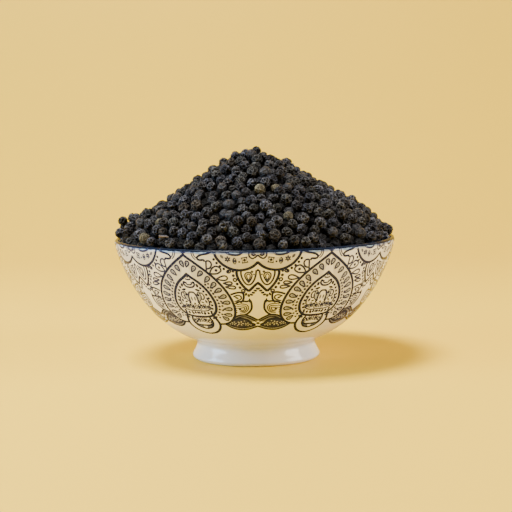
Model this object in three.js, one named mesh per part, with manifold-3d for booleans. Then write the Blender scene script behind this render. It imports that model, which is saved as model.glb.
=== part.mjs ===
// A footed porcelain bowl, heaped with whole black peppercorns.
// Millimetres, +Z up. The origin is the centre of the ring that the foot stands on,
// and the side seen in front faces -Y.

import * as THREE from 'three';
import { mergeVertices } from 'three/addons/utils/BufferGeometryUtils.js';
import Module from 'manifold-3d';

const wasm = await Module();
wasm.setup();

// ---- Bowl: driving dimensions ----
const RIM_RADIUS = 65; // outside of the lip
const RIM_HEIGHT = 56.5; // top of the lip
const LIP_ROUNDING = 1.45; // radius of the lip's round section
const LIP_RADIUS = RIM_RADIUS - LIP_ROUNDING; // centre of that section
const LIP_HEIGHT = RIM_HEIGHT - LIP_ROUNDING;
const BOWL_SEGMENTS = 48;
const LIP_STEPS = 4;
const WALL_STEPS = 8;

// Both faces of the wall are the same kind of curve: a flat start near the axis that
// turns up ever faster and ends upright under the lip.
const RISE_POWER = 1.29;
const SPREAD_POWER = 2.54;
const OUTER_WALL = { radius: 10, height: 7.1, topRadius: RIM_RADIUS };
const INNER_WALL = { radius: 9.5, height: 11.4, topRadius: RIM_RADIUS - 2 * LIP_ROUNDING };

// ---- Foot ring ----
const FOOT_NECK = { radius: 27.3, height: 7.4 }; // where the foot meets the bowl
const FOOT_WIDEST = { radius: 29.8, height: 1.6 };
const FOOT_EDGE = { radius: 29.2, height: 0.5 };
const FOOT_FACE = { inner: 25.4, outer: 28.2 }; // the flat ring that it stands on
const FOOT_INSIDE = { radius: 24.4, height: 1.2 };
const RECESS = { radius: 23.2, height: 5.6, middle: 5.2 }; // the hollow under the bowl

// ---- Heap: driving dimensions ----
const HEAP_RISE = 42.3; // from the rim's level to the peak
const HEAP_SLOPE = 0.66; // fall for each millimetre outwards
const PEAK_ROUNDING = 7;
const EDGE_DROP = 3; // further fall between EDGE_START and the bowl's inside
const EDGE_START = 50;
const EDGE_WIDTH = 12;
// Low mounds (and hollows) in the heap's side: place, height and spread.
const MOUNDS = [
  { x: 48, y: 0, height: 2.2, spread: 9 },
  { x: 9, y: 0, height: -2, spread: 8 },
  { x: -43, y: 0, height: -2.4, spread: 9 },
  { x: -61, y: 0, height: 6.4, spread: 8 },
  { x: -26, y: 0, height: -2, spread: 8 },
  { x: 61, y: 0, height: 1, spread: 7 },
  { x: 17, y: 0, height: 1.6, spread: 5 },
  { x: 14, y: -36, height: 1.2, spread: 14 },
  { x: -20, y: 34, height: 1.6, spread: 12 },
  { x: 22, y: 40, height: -1.4, spread: 12 },
  { x: -16, y: -46, height: -1, spread: 10 },
];

// ---- Peppercorns ----
const GRAIN_SMALLEST = 2.05; // radius
const GRAIN_SPREAD = 0.85; // between the smallest and the largest radius
const LAYER_DEPTH = 10; // how deep below the heap's top loose grains go
const HEAP_REACH = 62.3; // furthest centre of a grain from the axis
const TRIES = 8; // places tried for a grain before it settles
const SETTLING = [1.2, 0.6, 0.3, 0.15]; // lengths of its sideways moves
const MOVES = 4; // of each length
const MISSES = 4000; // the heap is full after so many grains that found no room
const STANDS_OUT = { least: -0.4, range: 1.6 }; // top of a grain above the heap's top
const CLEARANCE = 0.3; // between the grains and the bowl
const SEED = 2739985;
// Grains that lie on the lip itself.
const LIP_GRAIN_RADIUS = 2.5;
const LIP_GRAINS = [[-62.4, -3], [61.9, -3], [-61.6, 8], [61.4, 9], [-55, 28], [20, 58.5]];

// ---- Core of the heap ----
const CORE_DEPTH = 2.6; // below the heap's top
const CORE_SEGMENTS = BOWL_SEGMENTS / 2;
const CORE_STEPS = 7;
const CORE_EDGE_RISE = 1; // above the rim's level, where it meets the bowl
const CORE_EDGE_SLOPE = 2;
const SHOWN_GRAINS = 290; // fused on the core
const SHOWN_SPACING = 5.2; // least distance between their centres
const TURN_SEED = 3603; // how each of them is turned

// A seeded row of numbers between 0 and 1.
function randomNumbers(seed) {
  let state = seed;
  return () => {
    state = (state * 48271) % 2147483647;
    return state / 2147483647;
  };
}

// Points along one face of the wall, from near the axis up to the lip, closer
// together where it bends.
function wallPoints({ radius, height, topRadius }, steps, fromRadius = 0) {
  const points = [];
  for (let i = 0; i <= steps; i++) {
    const rise = (i / steps) ** 1.7;
    const spread = (1 - (1 - rise) ** RISE_POWER) ** (1 / SPREAD_POWER);
    const point = new THREE.Vector2(
      radius + (topRadius - radius) * spread,
      height + (LIP_HEIGHT - height) * rise,
    );
    if (point.x > fromRadius) points.push(point);
  }
  return points;
}

// Half a round section over the top of the lip, from outside to inside.
function lipPoints() {
  const points = [];
  for (let i = 1; i < LIP_STEPS; i++) {
    const angle = (Math.PI * i) / LIP_STEPS;
    points.push(new THREE.Vector2(
      LIP_RADIUS + LIP_ROUNDING * Math.cos(angle),
      LIP_HEIGHT + LIP_ROUNDING * Math.sin(angle),
    ));
  }
  return points;
}

// The foot's section, from the middle of the recess out to the neck.
function footPoints() {
  const at = ({ radius, height }) => new THREE.Vector2(radius, height);
  const cove = new THREE.SplineCurve([at(FOOT_WIDEST), new THREE.Vector2(28.5, 4.2), at(FOOT_NECK)]);
  return [
    new THREE.Vector2(0, RECESS.middle),
    at(RECESS),
    at(FOOT_INSIDE),
    new THREE.Vector2(FOOT_FACE.inner, 0),
    new THREE.Vector2(FOOT_FACE.outer, 0),
    at(FOOT_EDGE),
    ...cove.getPoints(3),
  ];
}

// Turns a section about the Z axis.
function turned(points, segments) {
  const geometry = new THREE.LatheGeometry(points, segments);
  geometry.rotateX(Math.PI / 2);
  return geometry;
}

function bowlGeometry() {
  const outside = wallPoints(OUTER_WALL, WALL_STEPS, FOOT_NECK.radius + 1);
  const inside = wallPoints(INNER_WALL, WALL_STEPS).reverse();
  const middle = new THREE.Vector2(0, INNER_WALL.height);
  return turned([...footPoints(), ...outside, ...lipPoints(), ...inside, middle], BOWL_SEGMENTS);
}

// Height of the heap's top at a place, as its highest grains reach it.
function heapTop(x, y) {
  const radius = Math.sqrt(x * x + y * y);
  const edge = Math.max(0, (radius - EDGE_START) / EDGE_WIDTH);
  const outwards = Math.sqrt(radius * radius + PEAK_ROUNDING * PEAK_ROUNDING) - PEAK_ROUNDING;
  let top = RIM_HEIGHT + HEAP_RISE - HEAP_SLOPE * outwards - EDGE_DROP * edge * edge;
  for (const mound of MOUNDS) {
    const dx = x - mound.x;
    const dy = y - mound.y;
    const falloff = 1 + (dx * dx + dy * dy) / (mound.spread * mound.spread);
    top += mound.height / (falloff * falloff);
  }
  return top;
}

// The loose grains of the heap, each one resting on those below it. A grain tries
// some places, takes the deepest and settles sideways, until no more find room.
function pouredGrains() {
  const draw = randomNumbers(SEED);
  const cellSize = 6;
  const cells = new Map();
  const grains = [];
  const cellKey = (i, j) => i * 1000 + j;

  function restingHeight(x, y, radius) {
    let height = heapTop(x, y) - LAYER_DEPTH + 1.2 * radius;
    const fromLip = LIP_RADIUS - Math.sqrt(x * x + y * y);
    const lipReach = radius + LIP_ROUNDING + CLEARANCE;
    if (fromLip < lipReach) {
      height = Math.max(height, LIP_HEIGHT + Math.sqrt(lipReach * lipReach - fromLip * fromLip));
    }
    const column = Math.floor(x / cellSize);
    const row = Math.floor(y / cellSize);
    for (let i = column - 1; i <= column + 1; i++) {
      for (let j = row - 1; j <= row + 1; j++) {
        for (const grain of cells.get(cellKey(i, j)) ?? []) {
          const dx = x - grain.x;
          const dy = y - grain.y;
          const apart = dx * dx + dy * dy;
          const reach = radius + grain.radius;
          if (apart < reach * reach) {
            height = Math.max(height, grain.z + Math.sqrt(reach * reach - apart));
          }
        }
      }
    }
    return height;
  }

  function candidate(x, y, radius) {
    if (x * x + y * y > HEAP_REACH * HEAP_REACH) return null;
    const z = restingHeight(x, y, radius);
    return { x, y, z, radius, level: z - heapTop(x, y) };
  }

  function lower(grain, other) {
    return other && (!grain || other.level < grain.level) ? other : grain;
  }

  function settled(grain) {
    let place = grain;
    for (const step of SETTLING) {
      for (let move = 0; move < MOVES; move++) {
        const before = place;
        for (const [dx, dy] of [[step, 0], [-step, 0], [0, step], [0, -step]]) {
          place = lower(place, candidate(place.x + dx, place.y + dy, grain.radius));
        }
        if (place === before) break;
      }
    }
    return place;
  }

  function keep(grain) {
    grains.push(grain);
    const key = cellKey(Math.floor(grain.x / cellSize), Math.floor(grain.y / cellSize));
    if (!cells.has(key)) cells.set(key, []);
    cells.get(key).push(grain);
  }

  for (const [x, y] of LIP_GRAINS) {
    const z = restingHeight(x, y, LIP_GRAIN_RADIUS);
    keep({ x, y, z, radius: LIP_GRAIN_RADIUS, level: z - heapTop(x, y) });
  }
  let misses = 0;
  while (misses < MISSES) {
    const radius = GRAIN_SMALLEST + (GRAIN_SPREAD * (draw() + draw())) / 2;
    let grain = null;
    for (let i = 0; i < TRIES; i++) {
      const x = (2 * draw() - 1) * HEAP_REACH;
      const y = (2 * draw() - 1) * HEAP_REACH;
      grain = lower(grain, candidate(x, y, radius));
    }
    if (!grain) continue;
    grain = settled(grain);
    const limit = STANDS_OUT.least + STANDS_OUT.range * draw();
    if (grain.level + radius > limit) misses++;
    else keep(grain);
  }
  return grains;
}

// Height of the core's top: just below the heap's, and drawn in at the rim.
function coreTop(x, y) {
  const edge = INNER_WALL.topRadius - CLEARANCE;
  const fromEdge = Math.max(0, edge - Math.sqrt(x * x + y * y));
  const atRim = RIM_HEIGHT + CORE_EDGE_RISE + CORE_EDGE_SLOPE * fromEdge;
  return Math.min(heapTop(x, y) - CORE_DEPTH, atRim);
}

// The core fills the bowl, clear of its wall, and carries the grains that show.
function coreGeometry() {
  const inset = CLEARANCE;
  const under = wallPoints(INNER_WALL, WALL_STEPS).map(
    (point) => new THREE.Vector2(point.x - inset, point.y + inset),
  );
  const edge = INNER_WALL.topRadius - inset;
  const flat = RIM_HEIGHT + CORE_EDGE_RISE;
  const top = [];
  for (let i = 0; i <= CORE_STEPS; i++) {
    top.push(new THREE.Vector2(edge * (1 - i / CORE_STEPS), flat));
  }
  const middle = new THREE.Vector2(0, INNER_WALL.height + inset);
  const geometry = turned([middle, ...under, ...top], CORE_SEGMENTS);
  const position = geometry.getAttribute('position');
  for (let i = 0; i < position.count; i++) {
    if (position.getZ(i) > flat - 0.001) {
      position.setZ(i, coreTop(position.getX(i), position.getY(i)));
    }
  }
  return geometry;
}

// A grain with few sides, turned at random.
function grainGeometry(grain, draw) {
  const geometry = new THREE.IcosahedronGeometry(grain.radius, 0);
  const angles = new THREE.Euler(draw() * Math.PI, draw() * Math.PI, draw() * Math.PI);
  const turn = new THREE.Matrix4().makeRotationFromEuler(angles);
  geometry.applyMatrix4(turn.setPosition(grain.x, grain.y, grain.z));
  return geometry;
}

// A closed geometry as a solid that can be joined, without the empty triangles
// that a lathe leaves at its poles.
function solid(geometry) {
  const bare = geometry.clone();
  bare.deleteAttribute('normal');
  bare.deleteAttribute('uv');
  const merged = mergeVertices(bare, 1e-4);
  const index = merged.getIndex().array;
  const triangles = [];
  for (let i = 0; i < index.length; i += 3) {
    const [a, b, c] = [index[i], index[i + 1], index[i + 2]];
    if (a !== b && b !== c && c !== a) triangles.push(a, b, c);
  }
  return new wasm.Manifold(new wasm.Mesh({
    numProp: 3,
    vertProperties: merged.getAttribute('position').array,
    triVerts: new Uint32Array(triangles),
  }));
}

function geometryOf(manifold) {
  const mesh = manifold.getMesh();
  const geometry = new THREE.BufferGeometry();
  geometry.setAttribute('position', new THREE.BufferAttribute(mesh.vertProperties, 3));
  geometry.setIndex(new THREE.BufferAttribute(mesh.triVerts, 1));
  geometry.computeVertexNormals();
  return geometry;
}

// The grains that are fused on: the highest ones first, spread evenly.
function shownGrains() {
  const shown = [];
  const highestFirst = pouredGrains().sort((a, b) => b.level + b.radius - a.level - a.radius);
  for (const grain of highestFirst) {
    const centre = new THREE.Vector3(grain.x, grain.y, grain.z);
    const crowded = shown.some((other) => centre.distanceTo(other) < SHOWN_SPACING);
    if (!crowded && shown.length < SHOWN_GRAINS) shown.push({ ...centre, radius: grain.radius });
  }
  return shown;
}

function heapGeometry() {
  const draw = randomNumbers(TURN_SEED);
  let heap = solid(coreGeometry());
  for (const grain of shownGrains()) heap = heap.add(solid(grainGeometry(grain, draw)));
  const [largest] = heap.decompose().sort((a, b) => b.volume() - a.volume());
  return geometryOf(largest);
}

function part(name, geometry, look) {
  const mesh = new THREE.Mesh(geometry, new THREE.MeshStandardMaterial(look));
  mesh.name = name;
  return mesh;
}

const group = new THREE.Group();
group.add(
  part('bowl', geometryOf(solid(bowlGeometry())), { color: 0xe6e6ea, roughness: 0.12, metalness: 0 }),
  part('peppercorns', heapGeometry(), { color: 0x2b2a2d, roughness: 0.8, metalness: 0 }),
);

export default group;
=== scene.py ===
"""A footed porcelain bowl with a scrolled print, heaped with black peppercorns.

Sizes in the classes are millimetres, apart from the heights of bumps and the places and sizes
of lamps, which are metres like the meshes. +Z is up, the origin is the centre of the ring that
the foot stands on, and the side seen in front faces -Y.
"""

from __future__ import annotations

import logging
import math
from dataclasses import dataclass, field
from enum import Enum
from typing import Any, Iterable, Iterator, Sequence

import bpy
import numpy as np
from mathutils import Matrix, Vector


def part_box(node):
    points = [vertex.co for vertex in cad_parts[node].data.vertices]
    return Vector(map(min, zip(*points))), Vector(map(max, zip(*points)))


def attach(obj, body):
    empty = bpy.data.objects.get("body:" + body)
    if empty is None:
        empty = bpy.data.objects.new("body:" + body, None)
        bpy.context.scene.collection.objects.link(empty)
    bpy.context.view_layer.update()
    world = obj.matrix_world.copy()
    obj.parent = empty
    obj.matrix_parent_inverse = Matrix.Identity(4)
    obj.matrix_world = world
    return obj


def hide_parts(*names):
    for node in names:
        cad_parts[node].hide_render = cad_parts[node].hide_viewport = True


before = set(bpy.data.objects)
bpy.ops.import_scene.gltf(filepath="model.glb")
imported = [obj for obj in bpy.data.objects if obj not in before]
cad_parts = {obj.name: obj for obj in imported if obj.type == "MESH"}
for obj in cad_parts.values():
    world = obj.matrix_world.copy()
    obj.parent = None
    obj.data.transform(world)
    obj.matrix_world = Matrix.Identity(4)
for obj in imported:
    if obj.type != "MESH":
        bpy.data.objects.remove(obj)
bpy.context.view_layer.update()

MM = 0.001
BODY = "root"
SHARP = math.radians(50)
LOG = logging.getLogger("peppercorn bowl")
Colour = tuple[float, float, float]
Point = tuple[float, float]


# ---------------------------------------------------------------- node helpers


class Value:
    """A node socket that adds its own Math nodes when it is used in an expression."""

    def __init__(self, graph: Graph, socket: bpy.types.NodeSocket) -> None:
        """Wraps one output socket of a graph."""
        self.graph = graph
        self.socket = socket

    def __add__(self, other: Value | float) -> Value:
        """The sum."""
        return self.graph.math("ADD", self, other)

    __radd__ = __add__

    def __sub__(self, other: Value | float) -> Value:
        """The difference."""
        return self.graph.math("SUBTRACT", self, other)

    def __rsub__(self, other: float) -> Value:
        """The difference, taken from a number."""
        return self.graph.math("SUBTRACT", other, self)

    def __mul__(self, other: Value | float) -> Value:
        """The product."""
        return self.graph.math("MULTIPLY", self, other)

    __rmul__ = __mul__

    def rises(self, low: float, high: float) -> Value:
        """A smooth step.

        Args:
            low: where it is still 0.
            high: where it has become 1.

        Returns:
            The step's value between 0 and 1.
        """
        settings = {"interpolation_type": "SMOOTHSTEP"}
        values = {"Value": self, "From Min": low, "From Max": high}
        return self.graph.node("ShaderNodeMapRange", settings, values)


class Graph:
    """Nodes of one tree, of a material or of a geometry modifier."""

    def __init__(self, tree: bpy.types.NodeTree) -> None:
        """Starts on an empty tree."""
        self.tree = tree
        tree.nodes.clear()

    def node(
        self,
        kind: str,
        settings: dict[str, Any] | None = None,
        values: dict[str | int, Any] | None = None,
        output: str | int = 0,
    ) -> Value:
        """Adds a node.

        Args:
            kind: the node's type.
            settings: its properties, set first.
            values: numbers or links for its input sockets, by name or index.
            output: which output is returned.

        Returns:
            The chosen output.
        """
        node = self.tree.nodes.new(kind)
        for name, setting in (settings or {}).items():
            setattr(node, name, setting)
        for name, value in (values or {}).items():
            if isinstance(value, Value):
                self.tree.links.new(value.socket, node.inputs[name])
            else:
                node.inputs[name].default_value = value
        return Value(self, node.outputs[output] if len(node.outputs) else None)

    def math(self, operation: str, first: Value | float, second: Value | float) -> Value:
        """One Math node on two numbers."""
        return self.node("ShaderNodeMath", {"operation": operation}, {0: first, 1: second})

    def vector(self, operation: str, first: Any, second: Any) -> Value:
        """One Vector Math node on two vectors."""
        return self.node("ShaderNodeVectorMath", {"operation": operation}, {0: first, 1: second})

    def scaled(self, vector: Value, factor: Value | float) -> Value:
        """A vector made longer or shorter."""
        values = {0: vector, "Scale": factor}
        return self.node("ShaderNodeVectorMath", {"operation": "SCALE"}, values)

    def noise(self, place: Value, scale: float, detail: float = 2.0) -> Value:
        """Soft noise between 0 and 1 at a place."""
        values = {"Vector": place, "Scale": scale, "Detail": detail}
        return self.node("ShaderNodeTexNoise", None, values)

    def cells(self, place: Value, scale: float) -> Value:
        """Distance to the nearest edge of a net of uneven cells."""
        settings = {"feature": "DISTANCE_TO_EDGE"}
        return self.node("ShaderNodeTexVoronoi", settings, {"Vector": place, "Scale": scale})

    def attribute(self, name: str) -> Value:
        """An attribute of the piece, in a material."""
        return self.node("ShaderNodeAttribute", {"attribute_name": name}, None, "Vector")


class Material(Graph):
    """The node tree of one finish."""

    def __init__(self, name: str) -> None:
        """Makes an empty material.

        Args:
            name: the finish's name.
        """
        self.material = bpy.data.materials.new(name)
        self.material.use_nodes = True
        super().__init__(self.material.node_tree)

    def millimetres(self) -> Value:
        """The place on the piece, in millimetres."""
        place = self.node("ShaderNodeTexCoord", None, None, "Object")
        return self.scaled(place, 1 / MM)

    def mix(self, factor: Value | float, first: Value | Colour, second: Value | Colour) -> Value:
        """Mixes two colours.

        Args:
            factor: how much of the second.
            first: the colour where the factor is 0.
            second: the colour where it is 1.

        Returns:
            The mixed colour.
        """
        colours = [c if isinstance(c, Value) else (*c, 1.0) for c in (first, second)]
        settings = {"data_type": "RGBA"}
        return self.node("ShaderNodeMix", settings, {0: factor, 6: colours[0], 7: colours[1]}, 2)

    def bump(self, height: Value, distance: float, strength: float) -> Value:
        """A normal tilted by a height, with the distance in metres."""
        values = {"Height": height, "Distance": distance, "Strength": strength}
        return self.node("ShaderNodeBump", None, values)

    def finish(self, **values: Any) -> bpy.types.Material:
        """Ends the tree in a Principled shader.

        Args:
            values: the shader's sockets, with _ for a space in their names.

        Returns:
            The material.
        """
        sockets = {name.replace("_", " "): value for name, value in values.items()}
        shader = self.node("ShaderNodeBsdfPrincipled", None, sockets)
        self.node("ShaderNodeOutputMaterial", None, {"Surface": shader})
        return self.material


# ---------------------------------------------------------------- finishes


@dataclass(frozen=True)
class Porcelain:
    """White glazed porcelain with a thin blue wash below its lip."""

    ground: Colour = (0.80, 0.79, 0.80)
    clouded: Colour = (0.72, 0.72, 0.745)
    pooled: Colour = (0.66, 0.69, 0.74)
    wash: Colour = (0.10, 0.17, 0.33)
    bare_edge: Colour = (0.30, 0.29, 0.30)
    bare_foot: Colour = (0.62, 0.57, 0.50)
    roughness: float = 0.11
    wash_start: float = 1.0
    wash_reach: float = 2.1
    foot_clear: float = 5.5
    clouding: float = 0.35
    pooling: float = 0.7
    wash_depth: float = 0.85
    wear: float = 0.9
    ripple_height: float = 0.0006
    ripple_strength: float = 0.25
    bending: float = 1.52

    def material(self, rim_height: float, neck_height: float) -> bpy.types.Material:
        """Builds the glaze.

        Args:
            rim_height: height of the lip's top.
            neck_height: height of the corner over the foot, where glaze pools.

        Returns:
            The material.
        """
        m = Material("glazed porcelain")
        place = m.millimetres()
        height = m.node("ShaderNodeSeparateXYZ", None, {0: place}, "Z")
        wobble = m.noise(place, 0.45, 3.0) - 0.5
        below_rim = rim_height - height + 0.9 * wobble
        cloud = m.noise(place, 0.06, 2.0)
        colour = m.mix(cloud.rises(0.35, 0.75) * self.clouding, self.ground, self.clouded)
        over_foot = height.rises(self.foot_clear, neck_height)
        in_corner = (1 - (height - neck_height).rises(0.2, 2.2)) * over_foot
        colour = m.mix(in_corner * self.pooling, colour, self.pooled)
        bleed = 1 - below_rim.rises(self.wash_start, self.wash_reach)
        colour = m.mix(bleed * self.wash_depth, colour, self.wash)
        worn = 1 - (rim_height - height + 0.25 * wobble).rises(0.04, 0.16)
        colour = m.mix(worn * self.wear, colour, self.bare_edge)
        bare = 1 - height.rises(0.15, 0.4)
        colour = m.mix(bare, colour, self.bare_foot)
        gloss = self.roughness + 0.05 * m.noise(place, 0.3) + 0.5 * bare + 0.5 * worn
        ripple = m.noise(place, 0.16, 1.0) + 0.05 * m.noise(place, 1.6, 1.0)
        normal = m.bump(ripple, self.ripple_height, self.ripple_strength)
        return m.finish(Base_Color=colour, Roughness=gloss, Normal=normal, IOR=self.bending)


@dataclass(frozen=True)
class Ink:
    """Print under the glaze, strong in some places and faded in others."""

    name: str
    colour: Colour
    faded: Colour
    mottle_scale: float = 0.7
    fading: float = 0.6
    roughness: float = 0.2
    bending: float = 1.15

    def material(self) -> bpy.types.Material:
        """Builds the print's colour.

        Returns:
            The material.
        """
        m = Material(self.name)
        place = m.millimetres()
        weak = m.noise(place, self.mottle_scale, 3.0).rises(0.42, 0.72)
        colour = m.mix(weak * self.fading, self.colour, self.faded)
        gloss = self.roughness + 0.04 * m.noise(place, 0.3)
        return m.finish(Base_Color=colour, Roughness=gloss, IOR=self.bending)


@dataclass(frozen=True)
class Skin:
    """The dried skin of one kind of peppercorn: raised folds round sunken cells.

    The crests of the folds go from one colour to another over the heap. Their colours are the
    ridges' lighter tone with a painted highlight added, and the near-black hollow colour is
    painted shade in the sunken cells.
    """

    name: str
    # crest colours: the ridges' lighter tone, brightened by a painted highlight
    crest: Colour
    # hollow colour: painted shade, near black in the sunken cells
    hollow: Colour
    other_crest: Colour
    roughness: float = 0.46
    shine: float = 0.09
    tint_scale: float = 0.13
    dustiness: float = 0.12
    relief: float = 0.0003

    def material(self, folds: Folds) -> bpy.types.Material:
        """Builds the skin on the folds that its mesh was made with.

        Args:
            folds: sizes of the net of folds.

        Returns:
            The material.
        """
        m = Material(self.name)
        skin = m.attribute("skin")
        place = folds.drawn_out(m, skin)
        crest = 1 - folds.sunk(m, place)
        crinkle = 1 - m.cells(place, folds.scale * folds.crinkles).rises(0.0, folds.crinkle_end)
        tint = m.noise(skin, self.tint_scale, 1.0).rises(0.38, 0.62)
        high = m.mix(tint, self.crest, self.other_crest)
        firm = m.noise(skin, 0.7, 2.0).rises(0.36, 0.60)
        # the mix gives the ridges' lighter tone with a painted highlight on the crests, and painted
        # shade in the cells
        worn = crest * (0.25 + 0.75 * firm) + 0.30 * crinkle * (1 - firm) + 0.06 * crinkle
        colour = m.mix(worn, self.hollow, high)
        dust = m.noise(skin, 2.2, 4.0).rises(0.5, 0.85)
        colour = m.mix(dust * self.dustiness, colour, high)
        height = crest + 0.45 * crinkle + 0.25 * m.noise(skin, 3.5, 3.0)
        normal = m.bump(height, self.relief, 1.0)
        gloss = self.roughness + 0.18 * m.noise(skin, 1.3) - 0.09
        return m.finish(
            Base_Color=colour, Roughness=gloss, Normal=normal, Specular_IOR_Level=self.shine,
        )


@dataclass(frozen=True)
class HeapShade:
    """The inside of the heap, seen between the grains, near black as painted shade deep in the heap."""

    # painted shade of the heap's inside, near black
    colour: Colour = (0.002, 0.002, 0.002)
    lighter: Colour = (0.005, 0.005, 0.005)
    lump_scale: float = 0.21
    lump_height: float = 0.0015
    grit_scale: float = 1.4
    roughness: float = 0.85

    def material(self) -> bpy.types.Material:
        """Builds a dull skin in painted shade, with bumps of the grains' size.

        Returns:
            The material.
        """
        m = Material("painted shade of the heap's depths")
        place = m.millimetres()
        lumps = m.cells(place, self.lump_scale)
        grit = m.noise(place, self.grit_scale, 4.0)
        colour = m.mix(grit, self.colour, self.lighter)
        normal = m.bump(lumps.rises(0.0, 0.4) + 0.2 * grit, self.lump_height, 1.0)
        return m.finish(Base_Color=colour, Roughness=self.roughness, Normal=normal)


@dataclass(frozen=True)
class Straw:
    """A dried bit of stem."""

    colour: Colour = (0.20, 0.165, 0.145)
    shade: Colour = (0.085, 0.068, 0.06)
    fibre_stretch: tuple[float, float, float] = (0.35, 2.5, 2.5)
    fibre_height: float = 0.0002
    roughness: float = 0.75

    def material(self) -> bpy.types.Material:
        """Builds pale fibres along the stem.

        Returns:
            The material.
        """
        m = Material("dried stem")
        place = m.millimetres()
        stretched = m.vector("MULTIPLY", place, self.fibre_stretch)
        fibre = m.noise(stretched, 2.0, 4.0)
        colour = m.mix(fibre.rises(0.35, 0.65), self.shade, self.colour)
        normal = m.bump(fibre, self.fibre_height, 0.7)
        return m.finish(Base_Color=colour, Roughness=self.roughness, Normal=normal)


@dataclass(frozen=True)
class Ground:
    """The plain pale surface under the bowl."""

    colour: Colour = (0.95, 0.62, 0.03)
    grain: Colour = (0.93, 0.60, 0.028)
    grain_scale: float = 0.02
    roughness: float = 0.55

    def material(self) -> bpy.types.Material:
        """Builds a smooth matt surface with a hardly visible grain.

        Returns:
            The material.
        """
        m = Material("pale ground")
        place = m.millimetres()
        grain = m.noise(place, self.grain_scale, 2.0)
        colour = m.mix(grain * 0.08, self.colour, self.grain)
        return m.finish(Base_Color=colour, Roughness=self.roughness)


# ---------------------------------------------------------------- meshes


def make_piece(
    name: str, vertices: np.ndarray, faces: Sequence[Sequence[int]]
) -> bpy.types.Object:
    """Makes a mesh object in the scene.

    Args:
        name: the piece's name.
        vertices: places in millimetres, one row each.
        faces: corner numbers of each face.

    Returns:
        The object, at the origin, shaded smooth up to its sharp edges.
    """
    mesh = bpy.data.meshes.new(name)
    mesh.from_pydata((vertices * MM).tolist(), [], [list(face) for face in faces])
    mesh.polygons.foreach_set("use_smooth", [True] * len(mesh.polygons))
    mesh.set_sharp_from_angle(angle=SHARP)
    mesh.update()
    piece = bpy.data.objects.new(name, mesh)
    bpy.context.scene.collection.objects.link(piece)
    return piece


def whole_turn(steps: int) -> np.ndarray:
    """The angles of equal steps round a whole turn, in radians."""
    return np.arange(steps) * (2 * math.pi / steps)


def revolve(name: str, profile: Sequence[Point], segments: int) -> bpy.types.Object:
    """Turns a section about the Z axis into a closed body.

    Args:
        name: the piece's name.
        profile: radius and height of each point, from the axis round to the axis.
        segments: number of steps of a turn.

    Returns:
        The object.
    """
    angles = whole_turn(segments)
    ring = np.stack([np.cos(angles), np.sin(angles), np.zeros(segments)], axis=1)
    rows = [ring * radius + (0, 0, height) for radius, height in profile[1:-1]]
    count = len(rows)
    start, end = count * segments, count * segments + 1
    poles = [(0, 0, profile[0][1]), (0, 0, profile[-1][1])]
    vertices = np.concatenate([*rows, poles])
    faces: list[tuple[int, ...]] = []
    for i in range(segments):
        j = (i + 1) % segments
        faces.append((start, j, i))
        for row in range(count - 1):
            low, high = row * segments, (row + 1) * segments
            faces.append((low + i, low + j, high + j, high + i))
        last = (count - 1) * segments
        faces.append((last + i, last + j, end))
    return make_piece(name, vertices, faces)


def arc(centre: Point, radius: float, start: float, end: float, steps: int) -> list[Point]:
    """Points of a round stretch of a section.

    Args:
        centre: radius and height of the arc's centre.
        radius: the arc's own radius.
        start: first angle in degrees, 0 outwards and 90 up.
        end: last angle in degrees.
        steps: number of steps between them.

    Returns:
        The points, both ends among them.
    """
    turns = [math.radians(start + (end - start) * i / steps) for i in range(steps + 1)]
    return [(centre[0] + radius * math.cos(t), centre[1] + radius * math.sin(t)) for t in turns]


def smooth_path(points: Sequence[Point], step: float = 0.5, closed: bool = False) -> np.ndarray:
    """A smooth curve through a few points.

    Args:
        points: the points that it goes through.
        step: about how far apart the result's points are.
        closed: whether it runs back to its start.

    Returns:
        Points of the curve, one row each.
    """
    through = np.array(points, dtype=float)
    count = len(through)
    if count == 2:
        steps = max(1, round(float(np.hypot(*(through[1] - through[0]))) / step))
        return np.linspace(through[0], through[1], steps + 1)
    if closed:
        knots = np.concatenate([through[-1:], through, through[:2]])
    else:
        first, last = 2 * through[0] - through[1], 2 * through[-1] - through[-2]
        knots = np.concatenate([[first], through, [last]])
    curve = []
    for i in range(1, len(knots) - 2):
        before, here, there, after = knots[i - 1 : i + 3]
        steps = max(2, round(float(np.hypot(*(there - here))) / step))
        for t in np.arange(steps) / steps:
            curve.append(0.5 * (
                2 * here + (there - before) * t
                + (2 * before - 5 * here + 4 * there - after) * t**2
                + (3 * here - before - 3 * there + after) * t**3
            ))
    if not closed:
        curve.append(through[-1])
    return np.array(curve)


def baked(piece: bpy.types.Object) -> bpy.types.Object:
    """Turns a piece with a modifier into a plain mesh, and removes the modifier.

    Args:
        piece: the object with its modifier.

    Returns:
        The same object.
    """
    graph = bpy.context.evaluated_depsgraph_get()
    result = piece.evaluated_get(graph)
    mesh = bpy.data.meshes.new_from_object(result, preserve_all_data_layers=True, depsgraph=graph)
    name = piece.name
    piece.modifiers.clear()
    old = piece.data
    piece.data = mesh
    bpy.data.meshes.remove(old)
    mesh.name = name
    return piece


def add_nodes(piece: bpy.types.Object, tree: bpy.types.NodeTree, values: dict[str, Any]) -> None:
    """Adds a geometry modifier to a piece.

    Args:
        piece: the object that gets it.
        tree: the geometry node tree.
        values: a value for each of its inputs, by name.
    """
    modifier = piece.modifiers.new(tree.name, "NODES")
    modifier.node_group = tree
    for item in tree.interface.items_tree:
        if item.in_out == "INPUT" and item.name in values:
            modifier[item.identifier] = values[item.name]


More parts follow.
